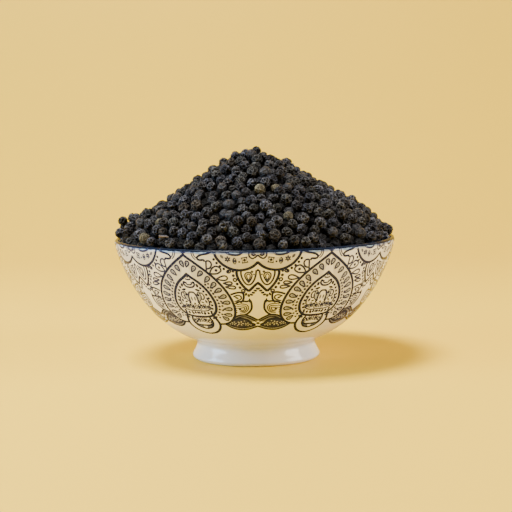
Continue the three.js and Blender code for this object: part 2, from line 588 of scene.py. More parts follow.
def geometry_tree(name: str, inputs: dict[str, str]) -> tuple[Graph, dict[str, Value]]:
    """Starts a geometry node tree.

    Args:
        name: the tree's name.
        inputs: socket type of each named input.

    Returns:
        The graph, and its inputs by name.
    """
    tree = bpy.data.node_groups.new(name, "GeometryNodeTree")
    graph = Graph(tree)
    for label, kind in inputs.items():
        tree.interface.new_socket(name=label, in_out="INPUT", socket_type=kind)
    tree.interface.new_socket(name="Result", in_out="OUTPUT", socket_type="NodeSocketGeometry")
    source = tree.nodes.new("NodeGroupInput")
    return graph, {label: Value(graph, source.outputs[label]) for label in inputs}


# ---------------------------------------------------------------- bowl


@dataclass
class BowlForm:
    """The bowl's section, as radius and height. Its outer sizes come from the frame.

    The body stays a thin skin inside the solid, and the print lies between the two.
    """

    rim_radius: float
    rim_height: float
    lip: float = 1.45
    rise_power: float = 1.29
    spread_power: float = 2.54
    outer_start: Point = (10.0, 7.1)
    inner_start: Point = (9.5, 11.4)
    neck: Point = (27.3, 7.4)
    wall_clear: float = 1.1
    wall_steps: int = 70
    crowding: float = 1.6
    recess_roof: tuple[Point, ...] = ((6, 5.23), (15, 5.36), (21.2, 5.5))
    recess_middle: float = 5.2
    recess_corner: Point = (21.9, 4.2)
    corner_radius: float = 1.4
    recess_wall: tuple[Point, ...] = ((23.5, 3.2), (24.1, 1.8), (24.9, 0.5))
    foot_inner_edge: Point = (25.6, 0.45)
    foot_outer_edge: Point = (28.1, 0.85)
    foot_wall: tuple[Point, ...] = (
        (29.35, 0.75), (29.75, 1.6), (29.35, 2.7), (28.45, 4.4), (27.75, 5.9), (27.45, 7.0),
        (27.6, 7.8), (28.15, 8.5),
    )
    floor_middle: float = 4.0
    over_lip: float = 153.0
    over_steps: int = 90
    wall_foot: float = 1.5
    table_steps: int = 3000
    slope_step: float = 0.2
    skin: float = 0.05
    _table: tuple[np.ndarray, np.ndarray, np.ndarray] | None = field(default=None, repr=False)

    @classmethod
    def from_frame(cls) -> BowlForm:
        """Reads the rim's radius and height from the frame's bowl."""
        low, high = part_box("bowl")
        return cls(rim_radius=(high[0] - low[0]) / 2 / MM, rim_height=high[2] / MM)

    @property
    def lip_height(self) -> float:
        """Height of the centre of the lip's round section."""
        return self.rim_height - self.lip

    def wall_radius(self, height: np.ndarray | float, inner: bool = False) -> np.ndarray | float:
        """Radius of a face of the wall.

        Args:
            height: height above the ground.
            inner: whether the inner face is meant.

        Returns:
            The radius at that height.
        """
        start, low = self.inner_start if inner else self.outer_start
        top = self.rim_radius - (2 * self.lip if inner else 0.0)
        rise = np.clip((height - low) / (self.lip_height - low), 0, 1)
        spread = (1 - (1 - rise) ** self.rise_power) ** (1 / self.spread_power)
        return start + (top - start) * spread

    def outside(self, down: np.ndarray) -> tuple[np.ndarray, np.ndarray]:
        """Follows the outer face down from the lip.

        Args:
            down: distances down the face, or up and over the lip where they are negative.

        Returns:
            The radii and the heights there.
        """
        if self._table is None:
            over = np.linspace(math.radians(self.over_lip), 0, self.over_steps)[:-1]
            lowest = self.neck[1] + self.wall_foot
            heights = np.linspace(self.lip_height, lowest, self.table_steps)
            radii = self.wall_radius(heights)
            lengths = np.cumsum(np.hypot(np.diff(radii), np.diff(heights)))
            self._table = (
                np.concatenate([-self.lip * over, [0], lengths]),
                np.concatenate([self.rim_radius - self.lip * (1 - np.cos(over)), radii]),
                np.concatenate([self.lip_height + self.lip * np.sin(over), heights]),
            )
        lengths, radii, heights = self._table
        return np.interp(down, lengths, radii), np.interp(down, lengths, heights)

    def on_wall(self, places: np.ndarray) -> tuple[np.ndarray, np.ndarray]:
        """Places on the outer face.

        Args:
            places: degrees round from the front and millimetres down from the lip, a row each.

        Returns:
            The points in space, and the outward directions there.
        """
        turn, down = np.radians(places[:, 0]), places[:, 1]
        radius, height = self.outside(down)
        next_radius, next_height = self.outside(down + self.slope_step)
        slope = np.arctan2(radius - next_radius, height - next_height)
        round_x, round_y = np.sin(turn), -np.cos(turn)
        points = np.stack([radius * round_x, radius * round_y, height], axis=1)
        flat, up = np.cos(slope), -np.sin(slope)
        return points, np.stack([flat * round_x, flat * round_y, up], axis=1)

    def degree(self, down: np.ndarray | float) -> np.ndarray | float:
        """Length of one degree round the bowl at a distance down from the lip."""
        return self.outside(down)[0] * math.pi / 180

    def profile(self) -> list[Point]:
        """The whole section.

        Returns:
            Its points, from the recess under the bowl round to the floor inside.
        """
        steps = self.wall_steps
        curve = [(i / steps) ** self.crowding for i in range(steps + 1)]
        low_outer = self.outer_start[1]
        outer_heights = [low_outer + (self.lip_height - low_outer) * t for t in curve]
        corner = self.neck[0] + self.wall_clear
        outer = [(float(self.wall_radius(z)), z) for z in outer_heights]
        outer = [(r - self.skin, z) for r, z in outer if r > corner]
        low_inner = self.inner_start[1]
        inner_heights = [low_inner + (self.lip_height - low_inner) * t for t in curve]
        inner = [(float(self.wall_radius(z, True)), z) for z in reversed(inner_heights)]
        lip = arc((self.rim_radius - self.lip, self.lip_height), self.lip - self.skin, 0, 180, 20)
        foot = [
            (0.0, self.recess_middle),
            *smooth_path(self.recess_roof, 1.5).tolist(),
            *arc(self.recess_corner, self.corner_radius, 80, 0, 6),
            *smooth_path(self.recess_wall, 0.5).tolist(),
            *arc(self.foot_inner_edge, self.foot_inner_edge[1], 215, 270, 4),
            *arc(self.foot_outer_edge, self.foot_outer_edge[1], 270, 325, 5),
            *smooth_path(self.foot_wall, 0.35).tolist(),
        ]
        floor = self.inner_start[1]
        return [*foot, *outer, *lip, *inner, (self.floor_middle, floor), (0.0, floor)]


class PrintSheet:
    """Lines and spots of one ink, laid on the wall as thin closed solids.

    RING_STEP is the widest gap between the rings of a patch, and ROOT is how far each solid
    reaches into the body.
    """

    RING_STEP = 1.4
    ROOT = 0.06

    def __init__(self, form: BowlForm, proud: float) -> None:
        """Starts an empty sheet.

        Args:
            form: the bowl that it lies on.
            proud: how far its face stands proud of the glaze.
        """
        self.form = form
        self.proud = proud
        self.vertices: list[np.ndarray] = []
        self.faces: list[tuple[int, ...]] = []
        self.count = 0

    def _add(self, vertices: np.ndarray, faces: Iterable[tuple[int, ...]]) -> None:
        """Adds one closed solid.

        Args:
            vertices: its corners, a row each.
            faces: corner numbers of each of its faces.
        """
        self.faces.extend(tuple(corner + self.count for corner in face) for face in faces)
        self.vertices.append(vertices)
        self.count += len(vertices)

    def ribbon(self, path: np.ndarray, width: float, closed: bool) -> None:
        """Lays a line along a path.

        Args:
            path: degrees and millimetres down, a row each.
            width: the line's width.
            closed: whether the path runs back to its start.
        """
        points, normals = self.form.on_wall(path)
        count = len(points)
        if closed:
            ahead = np.roll(points, -1, axis=0) - np.roll(points, 1, axis=0)
        else:
            ahead = np.gradient(points, axis=0)
        side = np.cross(normals, ahead)
        side *= width / 2 / np.linalg.norm(side, axis=1, keepdims=True)
        over = normals * (self.proud - self.form.skin)
        under = normals * (-self.form.skin - self.ROOT)
        corners = (side + over, over - side, under - side, under + side)
        vertices = np.stack([points + corner for corner in corners], axis=1).reshape(-1, 3)
        faces: list[tuple[int, ...]] = []
        for i in range(count if closed else count - 1):
            here, there = 4 * i, 4 * ((i + 1) % count)
            for k in range(4):
                n = (k + 1) % 4
                faces.append((here + k, here + n, there + n, there + k))
        if not closed:
            faces.append((3, 2, 1, 0))
            last = 4 * (count - 1)
            faces.append((last, last + 1, last + 2, last + 3))
        self._add(vertices, faces)

    def patch(self, outline: np.ndarray, centre: Point | None = None) -> None:
        """Fills an outline that its centre sees all of, in rings that follow the wall.

        Args:
            outline: degrees and millimetres down, a row each.
            centre: the point that it is filled from; the outline's mean without one.
        """
        middle = outline.mean(axis=0) if centre is None else np.array(centre)
        ahead = np.roll(outline, -1, axis=0)
        if np.sum(outline[:, 0] * ahead[:, 1] - ahead[:, 0] * outline[:, 1]) > 0:
            outline = outline[::-1]
        count = len(outline)
        reach = float(np.abs(outline - middle).max())
        rings = max(1, math.ceil(reach / self.RING_STEP))
        places = [middle + (outline - middle) * (rings - k) / rings for k in range(rings)]
        points, normals = self.form.on_wall(np.concatenate([*places, middle[None]]))
        over = points + normals * (self.proud - self.form.skin)
        under = points - normals * (self.form.skin + self.ROOT)
        base = len(over)
        faces: list[tuple[int, ...]] = []
        for i in range(count):
            j = (i + 1) % count
            for far in range(0, (rings - 1) * count, count):
                near = far + count
                faces.append((far + i, far + j, near + j, near + i))
                faces.append((base + near + i, base + near + j, base + far + j, base + far + i))
            last = (rings - 1) * count
            faces.append((last + i, last + j, base - 1))
            faces.append((base + last + j, base + last + i, 2 * base - 1))
            faces.append((j, i, base + i, base + j))
        self._add(np.concatenate([over, under]), faces)

    def piece(self, name: str) -> bpy.types.Object:
        """Makes the mesh of one repeat, with its faces pointing out."""
        return make_piece(name, np.concatenate(self.vertices), self.faces)


class Inks(Enum):
    """The inks of the print: the piece's name, how proud it stands, and its colours."""

    WASH = ("print_wash", 0.012, Ink("cobalt wash", (0.24, 0.36, 0.58), (0.44, 0.54, 0.7)))
    VEIL = ("print_veil", 0.009, Ink("pale wash", (0.60, 0.585, 0.575), (0.68, 0.665, 0.66)))
    BAND = ("print_band", 0.028, Ink("cobalt band", (0.006, 0.010, 0.022), (0.016, 0.027, 0.054)))
    TINT = ("print_tint", 0.014, Ink("thin print", (0.34, 0.355, 0.42), (0.45, 0.46, 0.52)))
    GREY = ("print_grey", 0.015, Ink("mid grey print", (0.17, 0.175, 0.24), (0.25, 0.255, 0.32)))
    SHADE = ("print_shade", 0.016, Ink("grey print", (0.078, 0.088, 0.165), (0.155, 0.168, 0.26)))
    FINE = ("print_fine", 0.022, Ink("fine print", (0.026, 0.033, 0.10), (0.058, 0.069, 0.16)))
    LINE = ("print_lines", 0.0285, Ink("dark print", (0.013, 0.018, 0.062), (0.026, 0.033, 0.09)))
    RESERVE = ("print_reserve", 0.036, Ink("reserved white", (0.46, 0.46, 0.48), (0.36, 0.36, 0.38)))

    def __init__(self, piece_name: str, proud: float, ink: Ink) -> None:
        """Takes an entry's values.

        Args:
            piece_name: the piece's name.
            proud: how far its face stands proud of the glaze.
            ink: its finish.
        """
        self.piece_name = piece_name
        self.proud = proud
        self.ink = ink


class Shapes:
    """Small closed shapes, in millimetres across and down from their anchor."""

    DROP_FULLNESS = 0.65
    DROP_POINT = 1.3
    LEAF_POINT = 0.6

    @staticmethod
    def ring(radius: float, squash: float = 1.0, steps: int = 12) -> np.ndarray:
        """A circle or oval."""
        t = whole_turn(steps)
        return np.stack([radius * np.cos(t), radius * squash * np.sin(t)], axis=1)

    @classmethod
    def drop(cls, length: float, width: float, start: float = 0.0, steps: int = 14) -> np.ndarray:
        """A loop with its point at the anchor and its round end away from it.

        Args:
            length: from its point to its end.
            width: across its widest place.
            start: how far its point is from the anchor.
            steps: number of its corners.

        Returns:
            Its corners, a row each.
        """
        t = whole_turn(steps)
        across = cls.DROP_FULLNESS * width * np.sin(t) * np.abs(np.sin(t / 2)) ** cls.DROP_POINT
        return np.stack([across, start + length * (1 - np.cos(t)) / 2], axis=1)

    @classmethod
    def leaf(cls, length: float, width: float, start: float = 0.0) -> np.ndarray:
        """A leaf, pointed at both ends.

        Args:
            length: from point to point.
            width: about its width.
            start: how far its first point is from the anchor.

        Returns:
            Its corners, a row each.
        """
        t = whole_turn(12)
        across = width / 2 * np.sin(t) * np.abs(np.sin(t)) ** cls.LEAF_POINT
        return np.stack([across, start + length * (1 - np.cos(t)) / 2], axis=1)


@dataclass
class Ornament:
    """The print: a scalloped medallion with a pendant, and a large drop, by turns.

    Places are degrees from the medallion's middle and millimetres down from the lip. Each
    motif is drawn once for half a repeat and mirrored, and the repeat goes round the bowl.
    """

    form: BowlForm
    repeats: int = 6
    first_turn: float = 0.8
    heaviest: float = 1.32
    heavy: float = 1.22
    middle_weight: float = 0.95
    crest_weight: float = 0.82
    loop_weight: float = 0.80
    light: float = 0.74
    fine: float = 0.52
    petal_weight: float = 0.442
    band_down: float = -0.74
    band_row: float = 0.29
    band_rows: int = 9
    band_overlap: float = 0.06
    band_waves: tuple[tuple[float, float, float], ...] = ((0.07, 1.1, 0.0), (0.05, 2.7, 1.0))
    loops: int = 11
    loop_length: float = 3.0
    loop_growth: float = 0.9
    loop_shrink: float = 0.3
    middle_shift: float = 0.3
    side_shift: float = -1.2
    leans: tuple[float, ...] = (12.0, 2.0, -6.0, 4.0, 7.0, -4.0, 0.0, -6.0, 4.0)
    sheets: dict[Inks, PrintSheet] = field(default_factory=dict)

    def __post_init__(self) -> None:
        """Starts a sheet for each ink."""
        self.sheets = {ink: PrintSheet(self.form, ink.proud) for ink in Inks}

    # -- drawing

    @property
    def half(self) -> float:
        """Degrees from the medallion's middle to the drop's."""
        return 180 / self.repeats

    def draw(
        self, path: np.ndarray, width: float, ink: Inks = Inks.LINE, closed: bool = False
    ) -> None:
        """Draws a line and its mirror image.

        Args:
            path: places on the bowl.
            width: the line's width.
            ink: its ink.
            closed: whether it runs back to its start.
        """
        for side in (1, -1):
            self.sheets[ink].ribbon(path * (side, 1), width, closed)

    def fill(self, outline: np.ndarray, ink: Inks, centre: Point | None = None) -> None:
        """Fills an outline and its mirror image.

        Args:
            outline: places on the bowl.
            ink: its ink.
            centre: the point that it is filled from; the outline's mean without one.
        """
        self.sheets[ink].patch(outline, centre)
        mirrored = None if centre is None else (-centre[0], centre[1])
        self.sheets[ink].patch(outline * (-1, 1), mirrored)

    def at(self, anchor: Point, turn: float, shape: np.ndarray) -> np.ndarray:
        """Puts a small shape on the bowl.

        Args:
            anchor: where its origin goes.
            turn: degrees that it is turned by; 0 leaves its y pointing down.
            shape: millimetres across and down, a row each.

        Returns:
            The shape's places on the bowl.
        """
        cos, sin = math.cos(math.radians(turn)), math.sin(math.radians(turn))
        across = shape[:, 0] * cos - shape[:, 1] * sin
        down = shape[:, 0] * sin + shape[:, 1] * cos
        return np.stack([anchor[0] + across / self.form.degree(anchor[1]), anchor[1] + down], axis=1)

    def beside(self, path: np.ndarray, distance: float) -> np.ndarray:
        """A path moved sideways.

        Args:
            path: places on the bowl.
            distance: how far, to the right of the way it runs, seen with down as down.

        Returns:
            The moved path.
        """
        scale = np.stack([self.form.degree(path[:, 1]), np.ones(len(path))], axis=1)
        ahead = np.gradient(path, axis=0) * scale
        ahead /= np.linalg.norm(ahead, axis=1, keepdims=True)
        aside = np.stack([-ahead[:, 1], ahead[:, 0]], axis=1)
        return path + aside * distance / scale

    def stations(
        self, path: np.ndarray, count: int, start: float, end: float
    ) -> Iterator[tuple[Point, float]]:
        """Evenly spaced places along a path.

        Args:
            path: places on the bowl.
            count: how many.
            start: the first one's share of the way.
            end: the last one's share of the way.

        Yields:
            Each place, and the turn that points a shape's y to the path's right there.
        """
        scale = np.stack([self.form.degree(path[:, 1]), np.ones(len(path))], axis=1)
        steps = np.diff(path, axis=0) * (scale[1:] + scale[:-1]) / 2
        along = np.concatenate([[0], np.cumsum(np.hypot(steps[:, 0], steps[:, 1]))])
        for share in np.linspace(start, end, count):
            target = share * along[-1]
            degrees = float(np.interp(target, along, path[:, 0]))
            down = float(np.interp(target, along, path[:, 1]))
            i = min(int(np.searchsorted(along, target)), len(steps) - 1)
            x, y = steps[max(i - 1, 0)]
            yield (degrees, down), math.degrees(math.atan2(y, x))

    # -- small marks

    def stroke(
        self, points: Sequence[Point], width: float, ink: Inks = Inks.LINE, step: float = 0.5
    ) -> None:
        """Draws a smooth line through a few points."""
        self.draw(smooth_path(points, step), width, ink)

    def spot(self, anchor: Point, radius: float, ink: Inks, squash: float = 1.0) -> None:
        """Fills a round or oval spot."""
        self.fill(self.at(anchor, 0, Shapes.ring(radius, squash)), ink)

    def diamond(self, anchor: Point, turn: float, radius: float, ink: Inks) -> None:
        """Fills a spot with four corners."""
        self.fill(self.at(anchor, turn, Shapes.ring(radius, 1.0, 4)), ink)

    def blade(
        self, anchor: Point, turn: float, length: float, width: float, ink: Inks, start: float = 0.0
    ) -> None:
        """Fills a leaf."""
        self.fill(self.at(anchor, turn, Shapes.leaf(length, width, start)), ink)

    def outline(self, anchor: Point, turn: float, shape: np.ndarray, width: float) -> None:
        """Draws a small closed shape as a fine line."""
        self.draw(self.at(anchor, turn, shape), width, Inks.FINE, True)

    def dots(
        self, path: np.ndarray, count: int, size: float, start: float = 0.0, end: float = 1.0
    ) -> None:
        """Fills dark dots along a path, spaced as stations does it."""
        for place, turn in self.stations(path, count, start, end):
            self.fill(self.at(place, turn, Shapes.ring(size / 2, 1.0, 8)), Inks.LINE)

    def flower(self, anchor: Point, size: float) -> None:
        """Draws a small rosette.

        Args:
            anchor: its middle.
            size: how long its petals are.
        """
        petal = Shapes.drop(size, size * 0.8, size * 0.25, 10)
        for turn in range(20, 380, 72):
            self.outline(anchor, turn, petal, self.petal_weight)
        self.fill(self.at(anchor, 0, Shapes.ring(size * 0.26, 1.0, 8)), Inks.LINE)

    # -- the lip

    def band(self) -> None:
        """The uneven dark blue line round the bowl, from just under its lip to inside it."""
        degrees = np.arange(-0.2, self.half + 0.21, 0.4)
        down = np.full(len(degrees), self.band_down)
        for height, rate, start in self.band_waves:
            down = down + height * np.sin(degrees * rate + start)
        for row in range(self.band_rows):
            path = np.stack([degrees, down - row * self.band_row], axis=1)
            self.draw(path, self.band_row + self.band_overlap, Inks.BAND)

    # -- the medallion and what hangs from it

    def scallop(self) -> np.ndarray:
        """The medallion's lower edge.

        Returns:
            The path from the lip to the cusp in its middle.
        """
        return smooth_path([
            (17.0, -0.9), (16.7, 0.2), (15.8, 2.2), (13.8, 4.7), (10.9, 6.6), (7.6, 7.4), (4.4, 6.9),
            (1.9, 5.6), (-0.15, 3.55),
        ], 0.6)

    def medallion(self) -> None:
        """The scalloped field that hangs from the lip."""
        edge = self.scallop()
        self.fill(np.concatenate([edge, [(-0.1, -0.6)]]), Inks.VEIL, (6.0, 2.0))
        self.draw(edge, self.heavy)
        self.dots(self.beside(edge, -1.45), 5, 1.3, 0.12, 0.42)
        self.outline((11.6, 8.0), 20, Shapes.ring(0.9, 0.7), self.light)
        shield = smooth_path([(3.4, -0.9), (3.3, 0.9), (2.2, 2.0), (1.0, 1.5), (0.0, 0.5)], 0.4)
        self.draw(shield, self.light, Inks.FINE)
        self.stroke([(2.6, -0.2), (1.7, 0.7), (0.7, 0.2)], self.light, Inks.FINE, 0.4)
        self.spot((1.7, -0.2), 0.8, Inks.SHADE, 0.6)
        self.diamond((5.1, 2.7), 55, 1.7, Inks.TINT)
        self.outline((5.1, 2.7), 55, Shapes.ring(1.6, 1.0, 4), self.light)
        self.diamond((5.1, 2.7), 10, 0.8, Inks.LINE)
        self.blade((8.9, 4.7), 184, 3.2, 2.0, Inks.FINE)
        for down in (2.4, 3.9):
            self.fill(self.at((8.9, down), 0, Shapes.ring(0.32, 1.0, 6)), Inks.RESERVE)
        self.spot((7.2, 3.5), 0.45, Inks.FINE)
        for turn in (0, 60, 120, 180, 240, 300):
            self.blade((11.7, 2.3), turn, 1.35, 0.8, Inks.FINE, 0.15)
        self.blade((14.2, 0.8), 40, 2.2, 1.2, Inks.SHADE, -0.6)
        arch = smooth_path([(12.3, -0.9), (11.3, -0.1), (9.2, 0.45), (7.2, 0.3), (6.0, -0.7)], 0.5)
        self.fill(np.concatenate([arch, [(6.2, -1.2), (12.1, -1.2)]]), Inks.WASH, (9.2, -0.5))
        self.draw(arch, self.middle_weight, Inks.FINE)

    def pendant(self) -> None:
        """The shield with two points that hangs from the scallop."""
        side = smooth_path([
            (8.3, 7.3), (8.5, 9.0), (8.0, 11.4), (6.9, 13.9), (5.4, 16.1), (3.8, 17.8),
        ])
        self.draw(side, self.heavy)
        self.stroke([(3.9, 17.8), (2.4, 16.1), (1.1, 14.6), (-0.2, 13.4)], self.heavy)
        self.stroke([
            (6.7, 7.7), (6.7, 9.6), (6.1, 12.0), (5.0, 13.9), (3.75, 14.5), (2.5, 13.8), (1.5, 12.0),
            (0.9, 9.8), (0.6, 7.4),
        ], self.crest_weight, Inks.FINE)
        for length, width, start, weight in ((5.0, 3.3, 0.0, 0.66), (3.2, 1.6, 1.0, 0.5)):
            self.outline((3.8, 13.4), 180, Shapes.drop(length, width, start), weight)
        self.spot((0.0, 7.4), 0.55, Inks.LINE)
        self.diamond((2.35, 8.1), 10, 0.7, Inks.FINE)
        self.diamond((1.6, 9.4), 10, 0.5, Inks.SHADE)
        for k, (place, turn) in enumerate(self.stations(self.beside(side, -1.6), 6, 0.06, 0.86)):
            bead = self.at(place, turn, Shapes.ring(0.78, 0.9, 8))
            if k in (2, 5):
                self.draw(bead, self.light, Inks.FINE, True)
            else:
                self.fill(bead, Inks.FINE)
        garland = smooth_path([
            (6.2, 18.0), (5.1, 19.4), (3.7, 20.1), (2.5, 19.2), (1.1, 17.4), (0.0, 16.2),
        ])
        for place, turn in self.stations(garland, 7, 0.04, 0.96):
            self.blade(place, turn + 25, 1.8, 1.2, Inks.FINE, -0.9)
        self.blade((3.7, 21.4), 0, 2.6, 0.8, Inks.LINE)

    def petals(self) -> None:
        """Two petals that grow from the drop's side towards the pendant."""
        self.stroke([
            (11.9, 19.6), (9.6, 18.7), (7.6, 18.4), (6.4, 19.0), (6.2, 20.8), (6.7, 22.6), (8.0, 24.0),
        ], self.middle_weight)
        inner = smooth_path([(10.8, 20.7), (8.9, 19.9), (7.5, 20.4), (7.5, 21.9), (9.4, 22.9)])
        self.draw(inner, self.light, Inks.FINE)
        self.blade((9.3, 21.3), 60, 2.0, 1.0, Inks.FINE, -1.0)
        self.blade((9.9, 23.1), 100, 1.6, 0.8, Inks.FINE, -0.8)
        large = smooth_path([
            (10.4, 24.5), (8.6, 23.5), (6.4, 23.1), (4.8, 23.2), (3.5, 22.7), (2.9, 24.6), (3.0, 27.3),
            (4.4, 29.7), (6.4, 31.0),
        ])
        self.fill(np.concatenate([large[6:], [(9.7, 30.2), (10.2, 25.0)]]), Inks.VEIL, (6.6, 27.2))
        self.draw(large, self.middle_weight)
        for inset in (0.0, 1.1, 2.2):
            self.stroke([
                (9.7, 25.0 + inset), (7.2, 24.6 + inset), (4.9 + inset * 0.6, 25.3 + inset * 0.6),
                (4.5 + inset * 0.8, 27.4), (6.0 + inset * 0.5, 29.4 - inset * 0.4), (8.7, 30.0 - inset),
            ], self.fine, Inks.FINE)
        self.spot((8.4, 27.6), 0.65, Inks.FINE, 1.2)
        self.dots(smooth_path([(10.0, 25.8), (10.0, 29.6)]), 4, 0.55)

    def crossed_leaves(self) -> None:
        """The leaf that runs from under the drop to the middle, where it meets its mirror image."""
        upper = smooth_path([(12.6, 33.3), (9.6, 31.5), (6.2, 31.0), (3.2, 32.3), (-0.1, 34.5)])
        lower = smooth_path([
            (17.2, 37.5), (14.2, 39.8), (10.0, 41.2), (5.5, 40.8), (1.6, 39.3), (-0.1, 38.4),
        ])
        heart = smooth_path([
            (16.2, 36.9), (12.2, 34.2), (8.3, 33.3), (5.2, 34.3), (3.1, 36.3), (1.2, 37.3),
        ])
        belly = smooth_path([(16.2, 37.1), (12.6, 38.9), (8.6, 39.6), (4.6, 39.0), (1.2, 37.5)])
        self.fill(np.concatenate([upper, lower[::-1]]), Inks.GREY, (8.4, 36.7))
        self.fill(np.concatenate([heart, belly[::-1]]), Inks.FINE, (8.4, 36.7))
        self.draw(upper, self.middle_weight)
        self.draw(self.beside(upper, -1.15), self.light)
        self.draw(lower, self.middle_weight)
        self.draw(heart, self.middle_weight)
        self.draw(belly, self.light)
        for degrees, down, size in ((12.7, 36.5, 1.05), (9.1, 36.5, 1.4), (5.6, 37.1, 1.05)):
            for k in range(5):
                petal = Shapes.drop(size * 0.9, size * 0.5, 0.3, 9)
                self.fill(self.at((degrees, down), 72 * k + 15, petal), Inks.RESERVE)
        for degrees, down in ((14.7, 36.9), (11.0, 38.1), (7.0, 34.9), (3.7, 37.6)):
            self.diamond((degrees, down), 45, 0.36, Inks.RESERVE)
        self.spot((0.0, 36.4), 0.8, Inks.FINE)

    # -- the large drop

    def drop_outer(self) -> np.ndarray:
        """The drop's outer line.

        Returns:
            The path from its tip down its side.
        """
        return smooth_path([
            (30.25, 0.5), (28.2, 2.2), (25.9, 4.0), (21.0, 8.2), (17.0, 12.6), (13.9, 17.3),
            (11.8, 22.2), (10.8, 27.0), (11.3, 31.5), (13.6, 35.1), (17.0, 37.0), (20.6, 37.3),
        ])

    def drop_inner(self) -> np.ndarray:
        """The drop's inner line.

        Returns:
            The path from its tip down its side to its foot.
        """
        return smooth_path([
            (30.25, 9.5), (28.4, 11.2), (24.8, 14.2), (22.0, 18.0), (20.2, 22.2), (19.6, 25.6),
            (20.4, 29.2), (22.8, 31.8), (26.5, 32.8), (30.0, 32.9),
        ])

    def large_drop(self) -> None:
        """The drop's two lines and the rows of loops and dots between them."""
        outer, inner = self.drop_outer(), self.drop_inner()
        seam = self.half + 0.1
        self.fill(np.concatenate([outer, [(seam, 37.2), (seam, 0.5)]]), Inks.VEIL, (24.0, 23.0))
        self.draw(outer, self.heavy)
        self.draw(inner, self.heaviest)
        middles = self.stations(self.beside(outer, -1.3), self.loops, 0.075, 0.89)
        for k, (place, turn) in enumerate(middles):
            growth = self.loop_growth * min(1.0, k / 4) - self.loop_shrink * max(0, k - 8)
            length = self.loop_length + growth
            lean = self.leans[k % len(self.leans)]
            loop = self.at(place, turn + lean, Shapes.drop(length, 2.0, -length))
            self.fill(loop, Inks.TINT)
            self.draw(loop, self.light, Inks.FINE, True)
            self.blade(place, turn, length * 0.45, 0.5, Inks.SHADE, -length * 0.66)
        for distance, count, size in ((1.6, 14, 1.4), (3.0, 11, 1.25)):
            for place, turn in self.stations(self.beside(inner, distance), count, 0.26, 0.88):
                self.diamond(place, turn, size * 0.55, Inks.FINE)
        self.dots(self.beside(inner, -1.8), 12, 1.3, 0.16, 0.90)

    def drop_heart(self) -> None:
        """The flowers and scrolls inside the drop's inner line."""
        half = self.half
        self.stroke([(28.7, 12.1), (29.4, 12.4), (half, 12.5)], self.light, Inks.FINE)
        crown = smooth_path([(27.7, 13.4), (27.4, 14.8), (28.3, 16.0), (29.2, 16.3), (half, 16.4)])
        self.draw(crown, self.middle_weight, Inks.FINE)
        self.stroke([(28.8, 13.7), (28.7, 14.6), (29.3, 15.0), (half, 15.1)], self.light, Inks.FINE)
        self.spot((26.3, 15.7), 0.6, Inks.LINE)
        self.blade((27.9, 17.3), 74, 2.7, 1.15, Inks.LINE)
        self.spot((half, 11.2), 0.45, Inks.FINE)
        self.blade((27.2, 23.6), 172, 5.2, 2.0, Inks.TINT)
        tongue = [(27.9, 24.6), (27.9, 21.6), (28.5, 19.6), (29.3, 18.9), (half, 19.0)]
        self.stroke(tongue, self.middle_weight, Inks.FINE, 0.4)
        self.outline((27.2, 23.9), 172, Shapes.leaf(5.4, 2.1), self.fine)
        self.spot((27.0, 20.3), 0.62, Inks.LINE)
        self.spot((27.6, 24.6), 0.62, Inks.LINE)
        self.blade((29.2, 22.4), 0, 2.6, 0.9, Inks.SHADE, -1.3)
        self.stroke([
            (26.0, 19.0), (25.0, 19.3), (24.3, 20.6), (24.6, 22.2), (25.5, 22.6), (25.9, 21.6),
            (25.3, 20.9),
        ], self.light, Inks.FINE, 0.4)
        self.stroke([(23.3, 21.6), (22.5, 23.6), (22.7, 25.8)], self.light, Inks.FINE)
        self.blade((23.9, 23.6), 20, 1.9, 1.1, Inks.FINE, -0.9)
        self.blade((25.8, 24.2), 70, 1.7, 0.9, Inks.LINE, -0.8)
        self.spot((half, 25.1), 0.55, Inks.LINE)
        self.flower((28.4, 27.0), 1.3)
        self.flower((25.6, 26.7), 1.2)
        self.flower((23.4, 26.9), 0.8)
        self.blade((27.0, 25.9), 40, 1.5, 0.9, Inks.LINE, -0.75)
        self.stroke([(22.4, 27.6), (24.6, 28.9), (27.2, 29.3), (half, 29.1)], self.light, Inks.FINE)
        for degrees in (22.9, 24.7, 26.5, 28.2, 29.6):
            self.blade((degrees, 30.5), 0, 1.7, 1.25, Inks.FINE, -0.85)

    def cup(self) -> None:
        """The bud that hangs below the drop."""
        self.stroke([
            (22.6, 31.9), (21.4, 34.3), (20.6, 37.0), (21.0, 39.6), (22.9, 42.3), (26.0, 44.2),
            (30.0, 45.1),
        ], self.heavy)
        inner = smooth_path([(25.1, 32.9), (24.2, 35.3), (24.5, 37.8), (26.4, 40.1), (30.0, 41.3)])
        self.draw(inner, self.middle_weight)
        band = np.concatenate([
            smooth_path([(24.6, 36.9), (26.6, 37.9), (30.0, 38.2)]),
            smooth_path([(30.0, 41.2), (26.9, 40.2), (24.8, 38.0)]),
        ])
        self.fill(band, Inks.SHADE, (28.0, 39.2))
        self.stroke([(24.5, 37.3), (26.6, 38.4), (30.1, 38.7)], 1.15)
        self.flower((28.2, 35.0), 1.35)
        self.outline((25.8, 35.6), 0, Shapes.drop(2.2, 1.4, -1.0), self.light)

